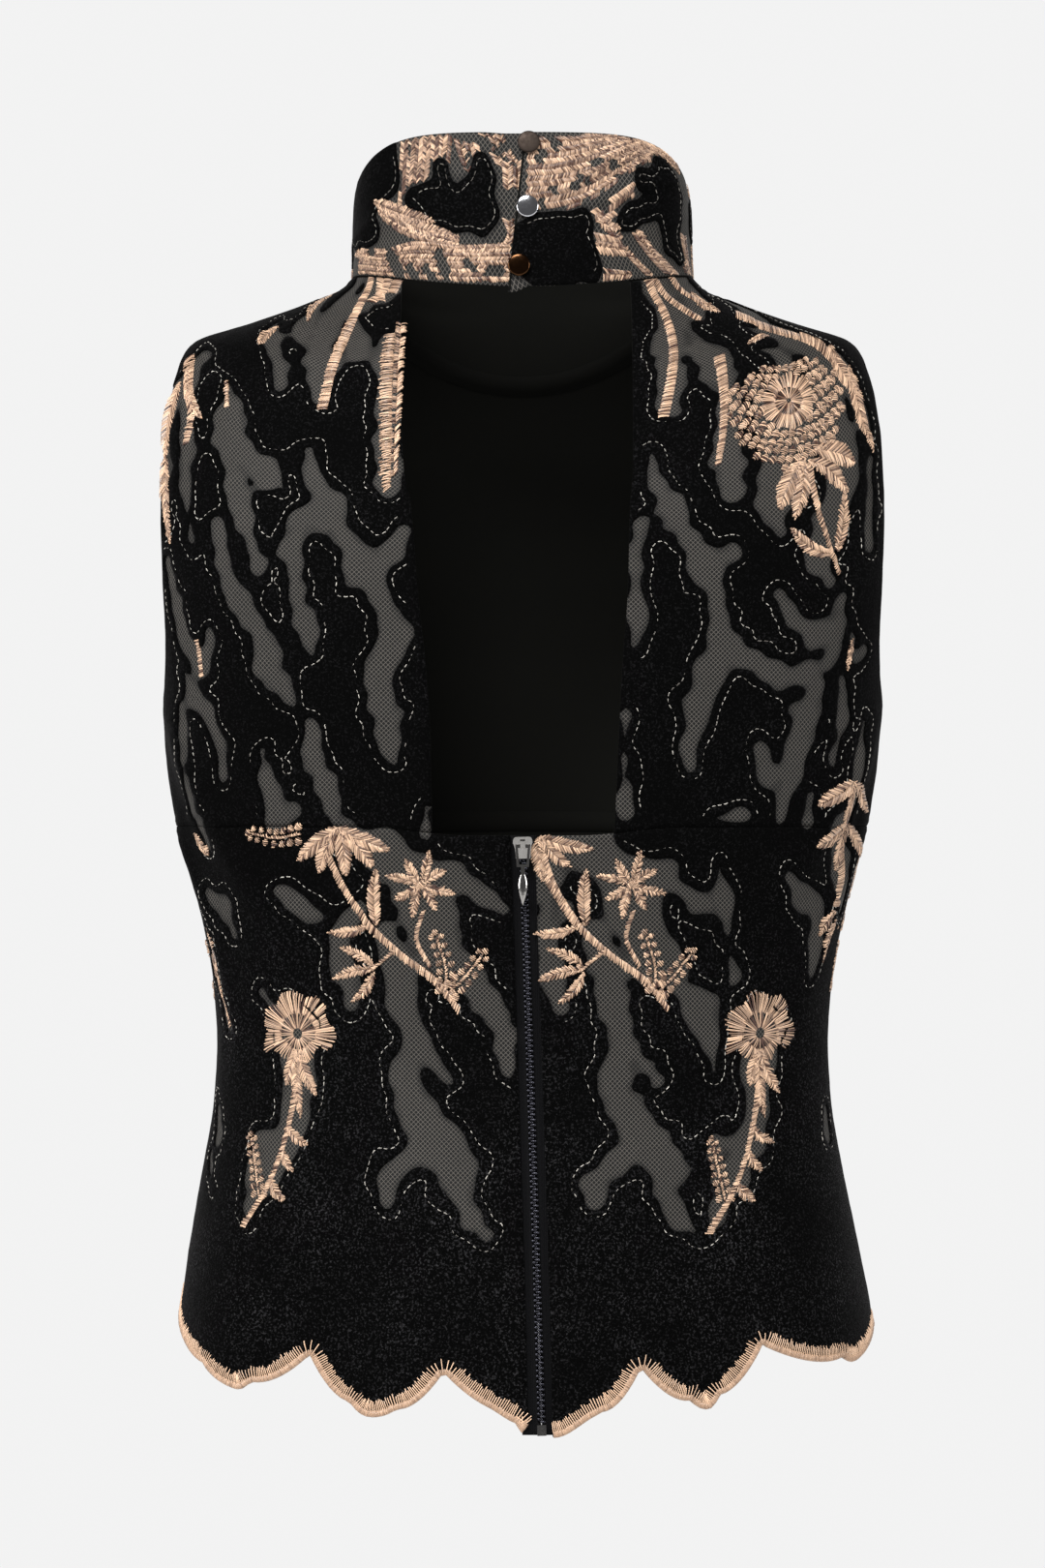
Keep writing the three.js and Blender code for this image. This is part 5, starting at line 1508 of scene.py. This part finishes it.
def neck_allowance():
    angle, level = seam_round(0.0)
    rows = [on_body(angle, level + up) for up in (-5, 0)] + [on_collar(angle, level + up) for up in (0, 0.05)]
    return seam_allowance("neck_seam_allowance", rows)


def side_allowances(part, low, high):
    pieces = []
    for name, side in (("left", 1), ("right", -1)):
        level = np.linspace(low, high, 60)
        rows = [on_body(np.full(60, side * (math.pi / 2 + turn * 0.05)), level) for turn in (side, 0, -side)]
        pieces.append(seam_allowance(f"side_seam_allowance_{part}_{name}", rows))
    return pieces


def free_edge_fold_and_shadow():
    """The turned edge of the collar's upper end: a dark line down the closure, partly the real turned edge and
    partly a painted shadow along it, drawn as a strip of black lining
    """
    share = np.linspace(0.01, 0.99, 40)
    angles = [angle_at_x(collar_row(share), free_edge(share) - inset) for inset in (0.0, 0.45, 0.9)]
    rows = [on_collar(2 * math.pi + angle, share) for angle in angles]
    return seam_allowance("free_edge_fold_and_shadow", rows, (-0.7, -1.02), -1)


ALLOWANCES = {
    "collar": [free_edge_fold_and_shadow()],
    "front_upper": [waist_allowance(), neck_allowance(), *side_allowances("upper", WAIST_SEAM, ARM_FOOT - 2)],
    "front_lower": side_allowances("lower", HEM_BAND - 8, WAIST_SEAM),
}


def make_panel(name, cloth, grid, sew, flat, area):
    shell = net_shell("net_" + name, cloth, *grid)
    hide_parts(name)
    top = ALLOWANCES.get(name, []) + [velvet("velvet_" + name, cloth, *grid)]
    top.append(running_stitch("running_stitch_" + name, cloth, *grid))
    top.append(sew().done("embroidery_" + name, cloth))
    if "lower" in name:
        top.append(hem_border("hem_stitch_" + name, cloth, *grid))


for panel in PANELS:
    make_panel(*panel)

# The zip

TAPE_WIDE, TAPE_FACE, TAPE_UNDER = 8.5, -1.9, -2.7  # the tapes lie behind the cloth's edges
TOOTH_PITCH = 2.3
# half a tooth from above, from its tip out to its clamp: x from the middle and half the length up the zip
TOOTH = ((-0.75, 0.34), (-0.35, 0.52), (0.4, 0.42), (0.75, 0.62), (1.6, 0.56), (1.75, 0.4))
TOOTH_LAYERS = ((-1.5, 1.0), (0.1, 1.0), (0.42, 0.82), (0.58, 0.4))  # height, and how far the outline shrinks
TOOTH_MIDDLE = 0.75  # what it shrinks to


def on_zip(x, level, height):
    """A place on the zip: x from its middle line towards the wearer's left"""
    x, level, height = np.broadcast_arrays(np.asarray(x, float), level, height)
    point, normal = on_body(angle_at_x(body_row(level), zip_x(level) + x), level)
    return point + normal * height[..., None]


def zip_tapes():
    """Two woven tapes, each with a corded edge along the teeth"""
    for name, start, end in (("left", SEAM / 2, TAPE_WIDE), ("right", -TAPE_WIDE, -SEAM / 2)):
        x, levels = np.linspace(start, end, 10), np.linspace(ZIP_FOOT, WAIST_SEAM - WAIST_DIP - SEAM, 90)
        grid_x, grid_level = np.meshgrid(x, levels)
        cord = 0.35 * np.exp(-(((abs(grid_x) - 1.4) / 0.8) ** 2))
        heights = TAPE_FACE + cord, TAPE_UNDER
        sides = [on_zip(grid_x, grid_level, height).reshape(-1, 3) for height in heights]
        faces = np.concatenate(shell_faces(*grid_x.shape)).tolist()
        piece = make_piece("woven_tape_" + name, np.concatenate(sides), faces, [TAPE])
        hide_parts("zip_tape_" + name)


def zip_teeth():
    """Metal teeth clamped over the tapes' edges, each tapering to its tip, the two sides staggered"""
    # the chain runs from below the slider to above the retainer
    top, foot = ZIP_TOP - 9.6 - SEAM, ZIP_FOOT + 4.6 + SEAM
    levels = np.arange(top - 0.8, foot + 0.6, -TOOTH_PITCH)
    points, faces, count = [], [], 2 * len(TOOTH)
    for side in (1, -1):
        for level in levels - (0 if side > 0 else TOOTH_PITCH / 2):
            base = len(points)
            for height, shrink in TOOTH_LAYERS:
                for sign in (1, -1):
                    for x, half in TOOTH[::sign]:
                        x = side * (x * shrink + (1 - shrink) * TOOTH_MIDDLE)
                        points.append((x, level + sign * half * shrink, height))
            for layer in range(len(TOOTH_LAYERS) - 1):
                for k in range(count):
                    a, b = base + layer * count + k, base + layer * count + (k + 1) % count
                    faces.append((a, b, b + count, a + count)[::side])
            faces.append(tuple(range(len(points) - count, len(points)))[::side])
    teeth = make_piece("zip_teeth", on_zip(*np.array(points).T), faces, [GUNMETAL])
    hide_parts("zip_chain")


zip_tapes()
zip_teeth()

# Snaps

# the cap's radius and height from its rim to its crown
CAP_PROFILE = (
    (4.6, 0), (4.95, 0.15), (5, 0.5), (4.92, 0.85), (4.65, 1.1), (4.3, 1.2), (3.6, 1.3), (2.6, 1.4),
    (1.4, 1.46), (0.001, 1.48),
)
CAP_SIDES = 48


def snap_cap(name):
    """A domed cap with a rolled rim, in the place of the plain one"""
    low, high = (np.array(v) * 1000 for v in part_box(name))
    centre = (low + high) / 2
    corners = np.array([v.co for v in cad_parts[name].data.vertices]) * 1000
    # the cap's axis is the direction in which it is thinnest
    thin = np.linalg.svd(corners - corners.mean(0), full_matrices=False)[2][2]
    axis = thin * np.sign(thin[1])
    foot = ((corners - centre) @ axis).min()
    side = unit(np.cross(axis, (0, 0, 1.0)))
    up = np.cross(side, axis)
    turn = np.linspace(0, 2 * math.pi, CAP_SIDES, endpoint=False)
    ring = np.outer(np.cos(turn), side) + np.outer(np.sin(turn), up)
    points = np.concatenate([centre + r * ring + (foot + h) * axis for r, h in CAP_PROFILE])
    faces = []
    for base in range(0, (len(CAP_PROFILE) - 1) * CAP_SIDES, CAP_SIDES):
        for k in range(CAP_SIDES):
            a, b = base + k, base + (k + 1) % CAP_SIDES
            faces.append((a, b, b + CAP_SIDES, a + CAP_SIDES))
    faces.append(tuple(range(CAP_SIDES - 1, -1, -1)))
    cap = make_piece(name + "_cap", points, faces, [SNAP_METALS[name]])
    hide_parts(name)


for name in SNAP_METALS:
    snap_cap(name)
# the CAD's own metal pieces stay, with their edges rounded
for name in ("zip_slider", "zip_pull", "zip_retainer", *(snap + "_back" for snap in SNAP_METALS)):
    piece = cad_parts[name]
    piece.data.materials.clear()
    piece.data.materials.append(NICKEL)
    edge = piece.modifiers.new("rounded edges", "BEVEL")
    edge.width, edge.segments, edge.limit_method = 0.00022, 2, "ANGLE"

# The studio


def aim_at(thing, place, target):
    thing.location = place
    thing.rotation_euler = (Vector(target) - Vector(place)).to_track_quat("-Z", "Y").to_euler()


def studio():
    # Pale paper sweep under even light: it fills the view with one flat tone, as the photo's ground does.
    name, glow = "pale paper sweep, evenly lit", {"Emission_Color": "#F2F2F2", "Emission_Strength": 1.0}
    paper, _, _ = start_material(name, "#101010", 1.0, Specular_IOR_Level=0.0, **glow)
    # the paper's section in metres, y and z: a floor, a bend and a wall
    turn = np.linspace(0.1, math.pi / 2, 14)
    bend = zip(-1.6 - 1.2 * np.sin(turn), -1.35 + 1.2 * (1 - np.cos(turn)))
    profile = [(4.0, -1.35), (-1.6, -1.35), *bend, (-2.8, 3.6)]
    points = [(x, y, z) for y, z in profile for x in (-5.0, 5.0)]
    faces = [(2 * k, 2 * k + 1, 2 * k + 3, 2 * k + 2) for k in range(len(profile) - 1)]
    mesh = bpy.data.meshes.new("paper_sweep")
    mesh.from_pydata(points, [], faces)
    mesh.materials.append(paper)
    mesh.shade_smooth()
    add_object("paper_sweep", mesh)
    world = bpy.data.worlds.new("soft room")
    bpy.context.scene.world = world
    bpy.context.scene.view_settings.view_transform = "Standard"
    world.use_nodes = True
    world.node_tree.nodes["Background"].inputs["Color"].default_value = linear("#F4F4F6")
    world.node_tree.nodes["Background"].inputs["Strength"].default_value = 0.1
    for name, place, aim, size, power in (
        ("high softbox", (0.5, 1.9, 1.6), (0, 0, -0.2), 1.1, 80),
        ("left softbox", (2.2, 1.2, 0.1), (0, 0, -0.25), 1.2, 34),
        ("right softbox", (-2.3, 1.2, 0.2), (0, 0, -0.25), 1.2, 29),
    ):
        light = bpy.data.lights.new(name, "AREA")
        light.shape, light.size, light.energy = "SQUARE", size, power
        aim_at(add_object(name, light), place, aim)


def photo_camera():
    """Level, in front of the back's middle, at the distance and lens that fit the photo"""
    camera = bpy.data.cameras.new("camera")
    camera.sensor_width, camera.lens, camera.clip_end = 36, 74.07, 30
    holder = add_object("camera", camera)
    aim_at(holder, (0, 1.5, -0.234), (0, 0, -0.234))
    bpy.context.scene.camera = holder


studio()
photo_camera()
